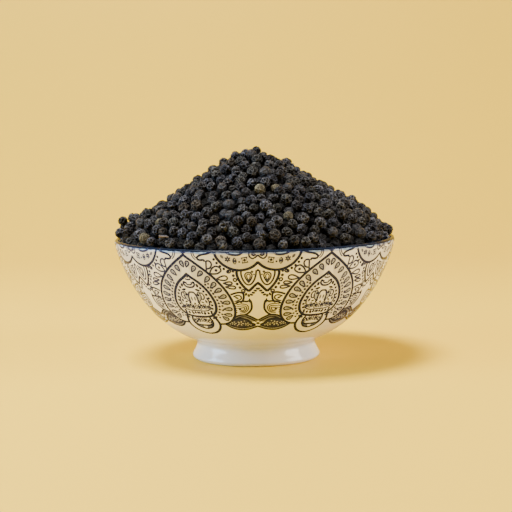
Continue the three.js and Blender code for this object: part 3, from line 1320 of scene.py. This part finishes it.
    def drop_crest(self) -> None:
        """The loops outside the drop's upper side, and the hooks at its tip."""
        self.stroke([(20.4, 3.1), (20.8, 8.3)], self.crest_weight, Inks.FINE)
        bowl = smooth_path([(20.3, 3.2), (19.0, 3.3), (18.3, 4.7), (19.1, 6.4), (20.7, 7.0)])
        self.draw(bowl, self.crest_weight, Inks.FINE)
        ring = smooth_path([
            (19.3, 9.0), (18.4, 6.8), (16.8, 5.6), (15.1, 6.3), (14.8, 7.8), (16.6, 9.1),
        ], closed=True)
        self.draw(ring, self.crest_weight, Inks.FINE, True)
        self.spot((16.7, 7.5), 0.7, Inks.FINE)
        for anchor, turn, length, width in (
            ((17.0, 11.7), 98, 5.0, 2.4), ((14.4, 13.8), 92, 4.0, 1.5), ((13.7, 15.6), 86, 4.6, 1.6),
        ):
            self.outline(anchor, turn, Shapes.drop(length, width), self.loop_weight)
        self.blade((13.6, 14.5), 90, 2.6, 0.8, Inks.FINE)
        self.stroke([
            (18.4, -0.8), (19.9, 0.0), (21.2, 0.25), (22.9, 0.8), (23.9, 1.6), (23.8, 2.6), (22.7, 2.9),
            (21.4, 2.8), (21.0, 3.6),
        ], self.middle_weight, Inks.LINE, 0.4)
        stem = smooth_path([(26.4, -0.9), (26.2, 0.6), (25.6, 1.9), (24.7, 2.8)])
        self.draw(stem, self.fine, Inks.FINE)
        self.draw(self.beside(stem, 0.9), self.fine, Inks.FINE)
        edge = smooth_path([(25.4, -0.9), (24.4, 0.1), (22.6, 0.2), (20.8, -0.2), (18.8, -0.8)], 0.5)
        self.fill(np.concatenate([edge, [(19.2, -1.2), (25.2, -1.2)]]), Inks.WASH, (22.3, -0.6))
        self.stroke([(28.9, -0.9), (29.3, -0.3), (30.0, -0.1)], self.light, Inks.FINE, 0.4)

    # -- the whole print

    def build(self) -> list[bpy.types.Object]:
        """Draws a repeat and carries it round the bowl.

        Returns:
            One piece for each ink.
        """
        for motif in (
            self.band, self.medallion, self.pendant, self.petals, self.crossed_leaves,
            self.large_drop, self.drop_heart, self.cup, self.drop_crest,
        ):
            motif()
        tree = round_the_axis()
        pieces = []
        for ink, sheet in self.sheets.items():
            piece = sheet.piece(ink.piece_name)
            add_nodes(piece, tree, {
                "Count": self.repeats,
                "First Turn": math.radians(self.first_turn),
                "Middle Shift": math.radians(self.middle_shift),
                "Side Shift": math.radians(self.side_shift),
                "Finish": ink.ink.material(),
            })
            pieces.append(baked(piece))
        return pieces


def round_the_axis() -> bpy.types.NodeTree:
    """Builds the tree that repeats a mesh round the Z axis, a little unevenly.

    Returns:
        The tree, with inputs for the count, the turns and the finish.
    """
    graph, inputs = geometry_tree("round the axis", {
        "Geometry": "NodeSocketGeometry",
        "Count": "NodeSocketInt",
        "First Turn": "NodeSocketFloat",
        "Middle Shift": "NodeSocketFloat",
        "Side Shift": "NodeSocketFloat",
        "Finish": "NodeSocketMaterial",
    })
    line = {"Count": inputs["Count"], "Offset": (0.0, 0.0, 0.0)}
    points = graph.node("GeometryNodeMeshLine", None, line)
    index = graph.node("GeometryNodeInputIndex")
    step = graph.math("DIVIDE", 2 * math.pi, inputs["Count"])
    turn = graph.node("ShaderNodeCombineXYZ", None, {"Z": inputs["First Turn"] + index * step})
    copies = graph.node("GeometryNodeInstanceOnPoints", None, {
        "Points": points, "Instance": inputs["Geometry"], "Rotation": turn,
    })
    joined = graph.node("GeometryNodeRealizeInstances", None, {0: copies})
    place = graph.node("GeometryNodeInputPosition")
    across = graph.node("ShaderNodeSeparateXYZ", None, {0: place}, "X")
    from_axis = graph.node("ShaderNodeVectorMath", {"operation": "LENGTH"}, {
        0: graph.vector("MULTIPLY", place, (1.0, 1.0, 0.0)),
    }, "Value")
    shift = inputs["Middle Shift"] + inputs["Side Shift"] * graph.math("DIVIDE", across, from_axis)
    shifted = graph.node("ShaderNodeVectorRotate", {"rotation_type": "Z_AXIS"}, {
        "Vector": place, "Angle": shift,
    })
    spread = graph.node("GeometryNodeSetPosition", None, {"Geometry": joined, "Position": shifted})
    dressed = graph.node("GeometryNodeSetMaterial", None, {
        "Geometry": spread, "Material": inputs["Finish"],
    })
    graph.node("NodeGroupOutput", None, {0: dressed})
    return graph.tree


@dataclass
class Bowl:
    """The footed bowl: its body and its print."""

    form: BowlForm
    segments: int = 256

    def build(self) -> None:
        """Makes the bowl's pieces and ties them to the frame."""
        body = revolve("bowl_body", self.form.profile(), self.segments)
        body.data.materials.append(Porcelain().material(self.form.rim_height, self.form.neck[1]))
        tie(body, "bowl")
        for piece in Ornament(self.form).build():
            tie(piece)


# ---------------------------------------------------------------- heap


@dataclass
class Mound:
    """A low mound, or a hollow, in the heap's side."""

    x: float
    y: float
    height: float
    spread: float


@dataclass
class HeapForm:
    """The heap's top, and the rule that its grains are poured by.

    The same numbers and the same draws make the solid's grains, so both lie in the same places.
    """

    rim_height: float
    rim_radius: float
    lip: float
    rise: float = 42.3
    slope: float = 0.66
    peak_rounding: float = 7.0
    edge_drop: float = 3.0
    edge_start: float = 50.0
    edge_width: float = 12.0
    smallest: float = 2.05
    radius_range: float = 0.85
    layer_depth: float = 10.0
    bedding: float = 1.2
    reach: float = 62.3
    tries: int = 8
    settling: tuple[float, ...] = (1.2, 0.6, 0.3, 0.15)
    moves: int = 4
    misses: int = 4000
    least_proud: float = -0.4
    proud_range: float = 1.6
    clearance: float = 0.3
    seed: int = 2739985
    lip_grain_radius: float = 2.5
    cell: float = 6.0
    lip_grains: tuple[Point, ...] = (
        (-62.4, -3), (61.9, -3), (-61.6, 8), (61.4, 9), (-55, 28), (20, 58.5),
    )
    mounds: tuple[Mound, ...] = (
        Mound(48, 0, 2.2, 9), Mound(9, 0, -2, 8), Mound(-43, 0, -2.4, 9), Mound(-61, 0, 6.4, 8),
        Mound(-26, 0, -2, 8), Mound(61, 0, 1, 7), Mound(17, 0, 1.6, 5), Mound(14, -36, 1.2, 14),
        Mound(-20, 34, 1.6, 12), Mound(22, 40, -1.4, 12), Mound(-16, -46, -1, 10),
    )

    def top(self, x: float, y: float) -> float:
        """Height of the heap's top.

        Args:
            x: millimetres to the right of the middle.
            y: millimetres behind the middle.

        Returns:
            The height there that the highest grains reach.
        """
        radius = math.sqrt(x * x + y * y)
        edge = max(0.0, (radius - self.edge_start) / self.edge_width)
        rounding = self.peak_rounding
        outwards = math.sqrt(radius * radius + rounding * rounding) - rounding
        height = self.rim_height + self.rise - self.slope * outwards - self.edge_drop * edge * edge
        for mound in self.mounds:
            dx = x - mound.x
            dy = y - mound.y
            falloff = 1 + (dx * dx + dy * dy) / (mound.spread * mound.spread)
            height += mound.height / (falloff * falloff)
        return height


@dataclass
class Grain:
    """One peppercorn's ball: its centre, its radius, and its centre's height over the top."""

    x: float
    y: float
    z: float
    radius: float
    level: float


class Draws:
    """A seeded row of numbers between 0 and 1."""

    MODULUS = 2147483647
    FACTOR = 48271

    def __init__(self, seed: int) -> None:
        """Starts at a seed."""
        self.state = seed

    def __call__(self) -> float:
        """The next number."""
        self.state = self.state * self.FACTOR % self.MODULUS
        return self.state / self.MODULUS


class Pouring:
    """Pours the heap: each grain rests on those below it, in the deepest place that it finds."""

    def __init__(self, form: HeapForm) -> None:
        """Starts with no grains.

        Args:
            form: the heap's form and rule.
        """
        self.form = form
        self.draw = Draws(form.seed)
        self.grains: list[Grain] = []
        self.near: dict[tuple[int, int], list[tuple[float, float, float, float]]] = {}

    def _cell(self, x: float, y: float) -> tuple[int, int]:
        """The cell of the grid that a place is in."""
        return math.floor(x / self.form.cell), math.floor(y / self.form.cell)

    def keep(self, grain: Grain) -> None:
        """Adds a grain, and notes it in the cells from which it can be touched.

        Args:
            grain: the grain, at its place.
        """
        self.grains.append(grain)
        column, row = self._cell(grain.x, grain.y)
        ball = (grain.x, grain.y, grain.z, grain.radius)
        for i in range(column - 1, column + 2):
            for j in range(row - 1, row + 2):
                self.near.setdefault((i, j), []).append(ball)

    def rest(self, x: float, y: float, radius: float) -> Grain:
        """Lets a grain rest on the lip, on other grains or on the heap's inside.

        Args:
            x: millimetres to the right of the middle.
            y: millimetres behind the middle.
            radius: the grain's radius.

        Returns:
            The grain, at the lowest height that it can have there.
        """
        form = self.form
        top = form.top(x, y)
        height = top - form.layer_depth + form.bedding * radius
        from_lip = form.rim_radius - form.lip - math.sqrt(x * x + y * y)
        lip_reach = radius + form.lip + form.clearance
        if from_lip < lip_reach:
            over = math.sqrt(lip_reach * lip_reach - from_lip * from_lip)
            height = max(height, form.rim_height - form.lip + over)
        for other_x, other_y, other_z, other_radius in self.near.get(self._cell(x, y), ()):
            dx = x - other_x
            dy = y - other_y
            apart = dx * dx + dy * dy
            reach = radius + other_radius
            if apart < reach * reach:
                height = max(height, other_z + math.sqrt(reach * reach - apart))
        return Grain(x, y, height, radius, height - top)

    def lower(self, grain: Grain | None, x: float, y: float, radius: float) -> Grain | None:
        """Chooses the lower of two places.

        Args:
            grain: the grain where it was, or nothing yet.
            x: the other place, to the right of the middle.
            y: the other place, behind the middle.
            radius: the grain's radius.

        Returns:
            The grain at the lower place, or as it was where the other is out of reach.
        """
        if x * x + y * y > self.form.reach * self.form.reach:
            return grain
        other = self.rest(x, y, radius)
        return other if grain is None or other.level < grain.level else grain

    def settle(self, grain: Grain) -> Grain:
        """Lets a grain move sideways while that brings it lower.

        Args:
            grain: the grain where it landed.

        Returns:
            The grain where it comes to rest.
        """
        for step in self.form.settling:
            for _ in range(self.form.moves):
                before = grain
                for dx, dy in ((step, 0.0), (-step, 0.0), (0.0, step), (0.0, -step)):
                    grain = self.lower(grain, grain.x + dx, grain.y + dy, grain.radius)
                if grain is before:
                    break
        return grain

    def pour(self) -> list[Grain]:
        """Fills the heap until no more grains find room.

        Returns:
            All its grains.
        """
        form, draw = self.form, self.draw
        for x, y in form.lip_grains:
            self.keep(self.rest(x, y, form.lip_grain_radius))
        misses = 0
        while misses < form.misses:
            radius = form.smallest + form.radius_range * (draw() + draw()) / 2
            grain = None
            for _ in range(form.tries):
                x = (2 * draw() - 1) * form.reach
                y = (2 * draw() - 1) * form.reach
                grain = self.lower(grain, x, y, radius)
            if grain is None:
                continue
            grain = self.settle(grain)
            limit = form.least_proud + form.proud_range * draw()
            if grain.level + radius > limit:
                misses += 1
            else:
                self.keep(grain)
        return self.grains


@dataclass(frozen=True)
class Folds:
    """The net of folds on a dried peppercorn, the same for its mesh and for its skin."""

    scale: float = 0.60
    stretch: tuple[float, float, float] = (1.0, 1.0, 0.66)
    drift: float = 1.9
    drift_scale: float = 0.42
    crest_start: float = 0.03
    crest_end: float = 0.178
    crinkles: float = 2.6
    crinkle_end: float = 0.22
    lump_scale: float = 0.28
    lump_depth: float = 0.32

    def drawn_out(self, graph: Graph, place: Value) -> Value:
        """Shifts places on the skin, so that the net becomes uneven and drawn out.

        Args:
            graph: the tree that gets the nodes.
            place: the place on the skin, in millimetres.

        Returns:
            The place in the net.
        """
        values = {"Vector": place, "Scale": self.drift_scale}
        wander = graph.node("ShaderNodeTexNoise", None, values, "Color")
        shift = graph.scaled(graph.vector("SUBTRACT", wander, (0.5, 0.5, 0.5)), self.drift)
        return graph.vector("MULTIPLY", graph.vector("ADD", place, shift), self.stretch)

    def sunk(self, graph: Graph, place: Value) -> Value:
        """How far the skin has sunk at a place in the net, 0 on a fold and 1 in a cell."""
        return graph.cells(place, self.scale).rises(self.crest_start, self.crest_end)


class Kind(Enum):
    """The kinds of peppercorn: piece, depth of the folds, share of the heap, and skin.

    Pale ones lie only where the view shows them, and the inner ones only in the second layer,
    where their darker skin is painted shade deep in the heap.
    """

    # each skin's crest colour carries a painted highlight, and its hollow colour painted shade
    JET = (
        "peppercorns_jet", 0.55, 0.27,
        Skin("jet skin", (0.112, 0.117, 0.148), (0.0004, 0.0004, 0.0006), (0.046, 0.048, 0.064)),
    )
    COAL = (
        "peppercorns_coal", 0.60, 0.27,
        Skin("coal skin", (0.108, 0.109, 0.124), (0.0004, 0.0004, 0.0004), (0.045, 0.043, 0.049)),
    )
    UMBER = (
        "peppercorns_umber", 0.55, 0.22,
        Skin("umber skin", (0.100, 0.101, 0.105), (0.0005, 0.0005, 0.0005), (0.05, 0.05, 0.052)),
    )
    SMOOTH = (
        "peppercorns_smooth", 0.14, 0.16,
        Skin(
            "smooth dark skin", (0.04, 0.042, 0.054), (0.006, 0.006, 0.009), (0.026, 0.026, 0.034),
            roughness=0.44, shine=0.3,
        ),
    )
    BROWN = (
        "peppercorns_brown", 0.45, 0.03,
        Skin("brown skin", (0.082, 0.072, 0.064), (0.0012, 0.001, 0.0009), (0.058, 0.053, 0.05)),
    )
    PALE = (
        "peppercorns_pale", 0.20, 0.0,
        Skin("pale skin", (0.19, 0.172, 0.115), (0.045, 0.039, 0.027), (0.15, 0.138, 0.098)),
    )
    # painted shade: the grains under the top layer get a darker copy of the skin
    INNER = (
        "peppercorns_inner", 0.30, 0.0,
        Skin("inner skin in painted shade", (0.026, 0.026, 0.03), (0.0006, 0.0006, 0.0006), (0.016, 0.016, 0.018)),
    )

    def __init__(self, piece_name: str, depth: float, share: float, skin: Skin) -> None:
        """Takes an entry's values.

        Args:
            piece_name: the piece's name.
            depth: how deep the folds are.
            share: how common the kind is, out of 1.
            skin: its finish.
        """
        self.piece_name = piece_name
        self.depth = depth
        self.share = share
        self.skin = skin


@dataclass(frozen=True)
class Marked:
    """A peppercorn that stands out in the view from the front, by its pixel there."""

    kind: Kind
    column: float
    row: float


@dataclass(frozen=True)
class Twig:
    """A bit of stem among the grains, by its pixel in the view from the front."""

    column: float = 164.0
    row: float = 239.0
    length: float = 4.2
    radius: float = 0.34
    lean: float = 52.0
    bedding: float = 0.98
    bow: float = 0.35
    bow_middle: float = -0.4
    taper: float = 0.35
    end_flare: float = 1.25
    sides: int = 10
    steps: int = 7


@dataclass
class Heap:
    """The heap of peppercorns over its core, which is dark with painted shade."""

    bowl: BowlForm
    camera: ViewPoint
    summit: float
    folds: Folds = Folds()
    shown_depth: float = 3.4
    seen_depth: float = 2.2
    front_bias: float = 0.05
    fine_steps: int = 4
    coarse_steps: int = 3
    seed_range: float = 200.0
    plumper: float = 1.08
    core_depth: float = 9.6
    core_gap: float = 0.1
    core_edge: float = 7.0
    core_sink: float = 8.0
    core_slope: float = 1.6
    core_segments: int = 96
    kind_seed: int = 90017
    marked: tuple[Marked, ...] = (
        Marked(Kind.PALE, 259, 184), Marked(Kind.PALE, 278, 185), Marked(Kind.PALE, 283, 212),
        Marked(Kind.BROWN, 274, 236), Marked(Kind.PALE, 139.4, 240.6), Marked(Kind.BROWN, 253, 222),
        Marked(Kind.BROWN, 259, 244), Marked(Kind.BROWN, 223, 242), Marked(Kind.PALE, 157, 223),
        Marked(Kind.BROWN, 167, 229.5), Marked(Kind.BROWN, 356, 205), Marked(Kind.BROWN, 349, 215),
        Marked(Kind.SMOOTH, 225.5, 187),
    )

    def build(self) -> None:
        """Pours the grains, makes each kind's piece, the core and the stem."""
        form = HeapForm(self.bowl.rim_height, self.bowl.rim_radius, self.bowl.lip)
        grains = Pouring(form).pour()
        LOG.info("poured %d peppercorns", len(grains))
        kinds = self.sorted_kinds(grains)
        tree = self.grain_tree()
        draw = Draws(self.kind_seed + 1)
        for kind in Kind:
            members = [grain for grain, own in zip(grains, kinds) if own is kind]
            if not members:
                continue
            piece = self.grain_places(kind, members, draw)
            add_nodes(piece, tree, {
                "Steps": self.coarse_steps if kind is Kind.INNER else self.fine_steps,
                "Fold Depth": kind.depth,
                "Finish": kind.skin.material(self.folds),
            })
            tie(baked(piece), "peppercorns")
        tie(self.core(form), "peppercorns")
        tie(self.twig(grains, Twig()), "peppercorns")

    def twig(self, grains: Sequence[Grain], twig: Twig) -> bpy.types.Object:
        """Makes a bit of dried stem that lies on the grain which shows at its pixel.

        Args:
            grains: all grains of the heap.
            twig: the stem's place and size.

        Returns:
            The object.
        """
        grain = grains[self.nearest(grains, Marked(Kind.COAL, twig.column, twig.row))]
        over = grain.radius * twig.bedding + twig.radius
        tilt = math.radians(twig.lean)
        middle = (grain.x, grain.y - over * math.sin(tilt), grain.z + over * math.cos(tilt))
        turns = whole_turn(twig.sides)
        rings = []
        for share in np.linspace(-1, 1, twig.steps):
            x = middle[0] + share * twig.length / 2
            bow = -twig.bow * twig.radius * (share - twig.bow_middle) ** 2
            flare = twig.end_flare if abs(share) == 1 else 1
            radius = twig.radius * (1 - twig.taper * share) * flare
            rings.append([
                (x, middle[1] + radius * math.cos(t), middle[2] + bow + radius * math.sin(t))
                for t in turns
            ])
        sides, last = twig.sides, (twig.steps - 1) * twig.sides
        ends = (tuple(reversed(range(sides))), tuple(last + i for i in range(sides)))
        faces: list[tuple[int, ...]] = [*ends]
        for near in range(0, last, sides):
            far = near + sides
            for i in range(sides):
                j = (i + 1) % sides
                faces.append((near + i, near + j, far + j, far + i))
        piece = make_piece("stem_bit", np.array(rings).reshape(-1, 3), faces)
        piece.data.materials.append(Straw().material())
        return piece

    def sorted_kinds(self, grains: Sequence[Grain]) -> list[Kind]:
        """Says of what kind each grain is.

        Args:
            grains: all grains of the heap.

        Returns:
            A kind for each grain.
        """
        draw = Draws(self.kind_seed)
        kinds = []
        for grain in grains:
            chance = draw()
            kind = Kind.COAL
            for candidate in Kind:
                if chance < candidate.share:
                    kind = candidate
                    break
                chance -= candidate.share
            # grains below the shown depth take the darker inner skin, painted shade
            kinds.append(kind if grain.level + grain.radius > -self.shown_depth else Kind.INNER)
        for mark in self.marked:
            kinds[self.nearest(grains, mark)] = mark.kind
        return kinds

    def nearest(self, grains: Sequence[Grain], mark: Marked) -> int:
        """Finds the grain that shows at a pixel of the view from the front.

        Args:
            grains: all grains of the heap.
            mark: the pixel's column and row.

        Returns:
            The grain's number.
        """
        best, found = math.inf, 0
        for number, grain in enumerate(grains):
            if grain.level + grain.radius < -self.seen_depth:
                continue
            column, row, scale = self.camera.pixel(grain.x, grain.y, grain.z)
            off = math.hypot(column - mark.column, row - mark.row) / scale
            score = off + self.front_bias * grain.y
            if score < best:
                best, found = score, number
        return found

    def grain_places(self, kind: Kind, grains: Sequence[Grain], draw: Draws) -> bpy.types.Object:
        """Makes a bare point for each grain, with the numbers that its ball is made from.

        Args:
            kind: the grains' kind.
            grains: the grains.
            draw: random numbers for their turns and skins.

        Returns:
            An object of loose points.
        """
        centres = np.array([(grain.x, grain.y, grain.z) for grain in grains])
        piece = make_piece(kind.piece_name, centres, [])
        mesh = piece.data
        radii = mesh.attributes.new("radius", "FLOAT", "POINT")
        radii.data.foreach_set("value", [self.shown_radius(grain) for grain in grains])
        turns = mesh.attributes.new("turn", "FLOAT_VECTOR", "POINT")
        turns.data.foreach_set("vector", [draw() * 2 * math.pi for _ in range(3 * len(grains))])
        seeds = mesh.attributes.new("seed", "FLOAT_VECTOR", "POINT")
        places = [draw() * self.seed_range for _ in range(3 * len(grains))]
        seeds.data.foreach_set("vector", places)
        return piece

    def shown_radius(self, grain: Grain) -> float:
        """The grain's outermost radius, kept inside the frame's box."""
        aside = self.bowl.rim_radius - math.hypot(grain.x, grain.y)
        return min(grain.radius * self.plumper, self.summit - grain.z, aside)

    def grain_tree(self) -> bpy.types.NodeTree:
        """Builds the tree that puts a wrinkled grain on each point.

        Returns:
            The tree, with inputs for the ball's steps, the folds' depth and the finish.
        """
        folds = self.folds
        graph, inputs = geometry_tree("wrinkled grains", {
            "Geometry": "NodeSocketGeometry",
            "Steps": "NodeSocketInt",
            "Fold Depth": "NodeSocketFloat",
            "Finish": "NodeSocketMaterial",
        })
        node = graph.node

        def named(name: str, kind: str) -> Value:
            """An attribute of the geometry, by its name and type."""
            return node("GeometryNodeInputNamedAttribute", {"data_type": kind}, {"Name": name})

        ball = node(
            "GeometryNodeMeshIcoSphere", None, {"Radius": 1.0, "Subdivisions": inputs["Steps"]}
        )
        ball = node(
            "GeometryNodeStoreNamedAttribute", {"data_type": "FLOAT_VECTOR"},
            {"Geometry": ball, "Name": "skin", "Value": node("GeometryNodeInputPosition")},
        )
        radius = named("radius", "FLOAT")
        balls = node("GeometryNodeInstanceOnPoints", None, {
            "Points": inputs["Geometry"], "Instance": ball,
            "Rotation": named("turn", "FLOAT_VECTOR"), "Scale": radius * MM,
        })
        joined = node("GeometryNodeRealizeInstances", None, {0: balls})
        true_size = graph.scaled(named("skin", "FLOAT_VECTOR"), radius)
        skin = graph.vector("ADD", true_size, named("seed", "FLOAT_VECTOR"))
        joined = node(
            "GeometryNodeStoreNamedAttribute", {"data_type": "FLOAT_VECTOR"},
            {"Geometry": joined, "Name": "skin", "Value": skin},
        )
        place = named("skin", "FLOAT_VECTOR")
        sunk = folds.sunk(graph, folds.drawn_out(graph, place))
        lump = graph.noise(place, folds.lump_scale, 1.0).rises(0.25, 0.75)
        inward = sunk * inputs["Fold Depth"] + lump * folds.lump_depth
        offset = graph.scaled(node("GeometryNodeInputNormal"), inward * -MM)
        formed = node("GeometryNodeSetPosition", None, {"Geometry": joined, "Offset": offset})
        formed = node(
            "GeometryNodeSetShadeSmooth", None, {"Geometry": formed, "Shade Smooth": True}
        )
        dressed = node(
            "GeometryNodeSetMaterial", None, {"Geometry": formed, "Material": inputs["Finish"]}
        )
        node("NodeGroupOutput", None, {0: dressed})
        return graph.tree

    def core(self, form: HeapForm) -> bpy.types.Object:
        """Makes the closed body that fills the bowl below the grains, dark with painted shade.

        Args:
            form: the heap's top.

        Returns:
            The object.
        """
        gap = form.clearance + self.core_gap
        top_height = self.bowl.lip_height - self.core_edge
        heights = np.linspace(self.bowl.inner_start[1], top_height, 24)
        under = [(float(self.bowl.wall_radius(z, True)) - gap, float(z) + gap) for z in heights]
        edge = under[-1][0]
        flat = self.bowl.rim_height
        top = [(edge * (1 - i / 30), flat) for i in range(30)]
        profile = [(0.0, under[0][1]), *under, *top, (0.0, flat)]
        piece = revolve("heap_core", profile, self.core_segments)
        for vertex in piece.data.vertices:
            x, y, z = (value / MM for value in vertex.co)
            if z > flat - 0.001:
                slope_in = (edge - math.sqrt(x * x + y * y)) * self.core_slope
                height = min(form.top(x, y) - self.core_depth, flat - self.core_sink + slope_in)
                vertex.co.z = height * MM
        piece.data.materials.append(HeapShade().material())
        return piece


# ---------------------------------------------------------------- studio


@dataclass
class ViewPoint:
    """The camera of the view from the front, worked out from the ellipses of rim and foot."""

    distance: float = 660.6
    height: float = 118.2
    pitch: float = 6.154
    roll: float = 0.8
    lens: float = 100.0
    frame_pixels: float = 512.0
    middle_column: float = 254.9
    middle_row: float = 256.5
    sensor: float = 36.0

    @property
    def pixels(self) -> float:
        """The focal length in pixels."""
        return self.lens / self.sensor * self.frame_pixels

    def pixel(self, x: float, y: float, z: float) -> tuple[float, float, float]:
        """Where a place shows.

        Args:
            x: millimetres to the right.
            y: millimetres away from the camera.
            z: millimetres up.

        Returns:
            Its column and row, and the pixels of a millimetre there.
        """
        cos, sin = math.cos(math.radians(self.pitch)), math.sin(math.radians(self.pitch))
        away, below = y + self.distance, self.height - z
        depth = away * cos + below * sin
        across = self.pixels * x / depth
        down = self.pixels * (below * cos - away * sin) / depth
        turn = math.radians(self.roll)
        column = self.middle_column + across * math.cos(turn) + down * math.sin(turn)
        row = self.middle_row + down * math.cos(turn) - across * math.sin(turn)
        return column, row, self.pixels / depth

    def build(self) -> None:
        """Makes the scene's camera."""
        data = bpy.data.cameras.new("camera")
        data.lens = self.lens
        data.sensor_width = self.sensor
        data.clip_start = 0.05
        middle = self.frame_pixels / 2
        data.shift_x = (middle - self.middle_column) / self.frame_pixels
        data.shift_y = (self.middle_row - middle) / self.frame_pixels
        camera = bpy.data.objects.new("camera", data)
        look = Matrix.Rotation(math.radians(90 - self.pitch), 4, "X")
        tilt = Matrix.Rotation(math.radians(-self.roll), 4, "Z")
        place = Matrix.Translation((0.0, -self.distance * MM, self.height * MM))
        camera.matrix_world = place @ look @ tilt
        bpy.context.scene.collection.objects.link(camera)
        bpy.context.scene.camera = camera


@dataclass
class SoftLight:
    """A square lamp that is turned to the bowl."""

    name: str
    place: tuple[float, float, float]
    size: float
    power: float
    colour: Colour
    target: tuple[float, float, float] = (0.0, 0.0, 0.05)

    def build(self) -> None:
        """Makes the lamp."""
        data = bpy.data.lights.new(self.name, "AREA")
        data.shape = "SQUARE"
        data.size = self.size
        data.energy = self.power
        data.color = self.colour
        lamp = bpy.data.objects.new(self.name, data)
        away = [p - t for p, t in zip(self.place, self.target)]
        flat = math.hypot(away[0], away[1])
        lamp.location = self.place
        lamp.rotation_euler = (math.atan2(flat, away[2]), 0.0, math.atan2(away[0], -away[1]))
        bpy.context.scene.collection.objects.link(lamp)


@dataclass
class Studio:
    """The pale ground, its backdrop and the light."""

    width: float = 3200.0
    front: float = -1500.0
    back: float = 900.0
    bend: float = 500.0
    top: float = 1500.0
    lights: tuple[SoftLight, ...] = (
        SoftLight("high light", (-0.26, -0.10, 0.97), 0.36, 23.0, (1.0, 0.96, 0.88)),
        SoftLight("left light", (-1.08, -0.20, 0.32), 0.6, 18.0, (0.53, 0.74, 1.0)),
        SoftLight("right light", (1.06, -0.25, 0.42), 0.6, 14.0, (1.0, 0.97, 0.95)),
    )
    sky: Colour = (1.0, 0.73, 0.28)
    sky_strength: float = 0.16

    def build(self) -> None:
        """Makes the ground, the lights and the sky."""
        section = [
            (self.front, 0.0), (0.0, 0.0), (self.back - self.bend, 0.0),
            *((self.back - self.bend + self.bend * math.sin(t), self.bend * (1 - math.cos(t)))
              for t in np.linspace(0, math.pi / 2, 24)[1:]),
            (self.back, self.top),
        ]
        half = self.width / 2
        vertices = np.array([(side, y, z) for y, z in section for side in (-half, half)])
        faces = [(2 * i, 2 * i + 1, 2 * i + 3, 2 * i + 2) for i in range(len(section) - 1)]
        ground = make_piece("pale_ground", vertices, faces)
        ground.data.materials.append(Ground().material())
        for light in self.lights:
            light.build()
        world = bpy.data.worlds.new("soft sky")
        world.use_nodes = True
        background = world.node_tree.nodes["Background"]
        background.inputs["Color"].default_value = (*self.sky, 1.0)
        background.inputs["Strength"].default_value = self.sky_strength
        bpy.context.scene.world = world


def tie(piece: bpy.types.Object, node: str | None = None) -> None:
    """Ties a finished piece to the frame.

    Args:
        piece: the piece.
        node: the node that it stands for, if any.
    """
    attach(piece, BODY)
    if node:
        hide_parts(node)
    triangles = sum(len(face.vertices) - 2 for face in piece.data.polygons)
    LOG.info("%s: %d triangles", piece.name, triangles)


def main() -> None:
    """Builds the scene in order."""
    logging.basicConfig(level=logging.INFO, format="%(name)s: %(message)s")
    camera = ViewPoint()
    camera.build()
    form = BowlForm.from_frame()
    Bowl(form).build()
    Heap(form, camera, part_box("peppercorns")[1][2] / MM).build()
    Studio().build()


if __name__ == "__main__":
    main()
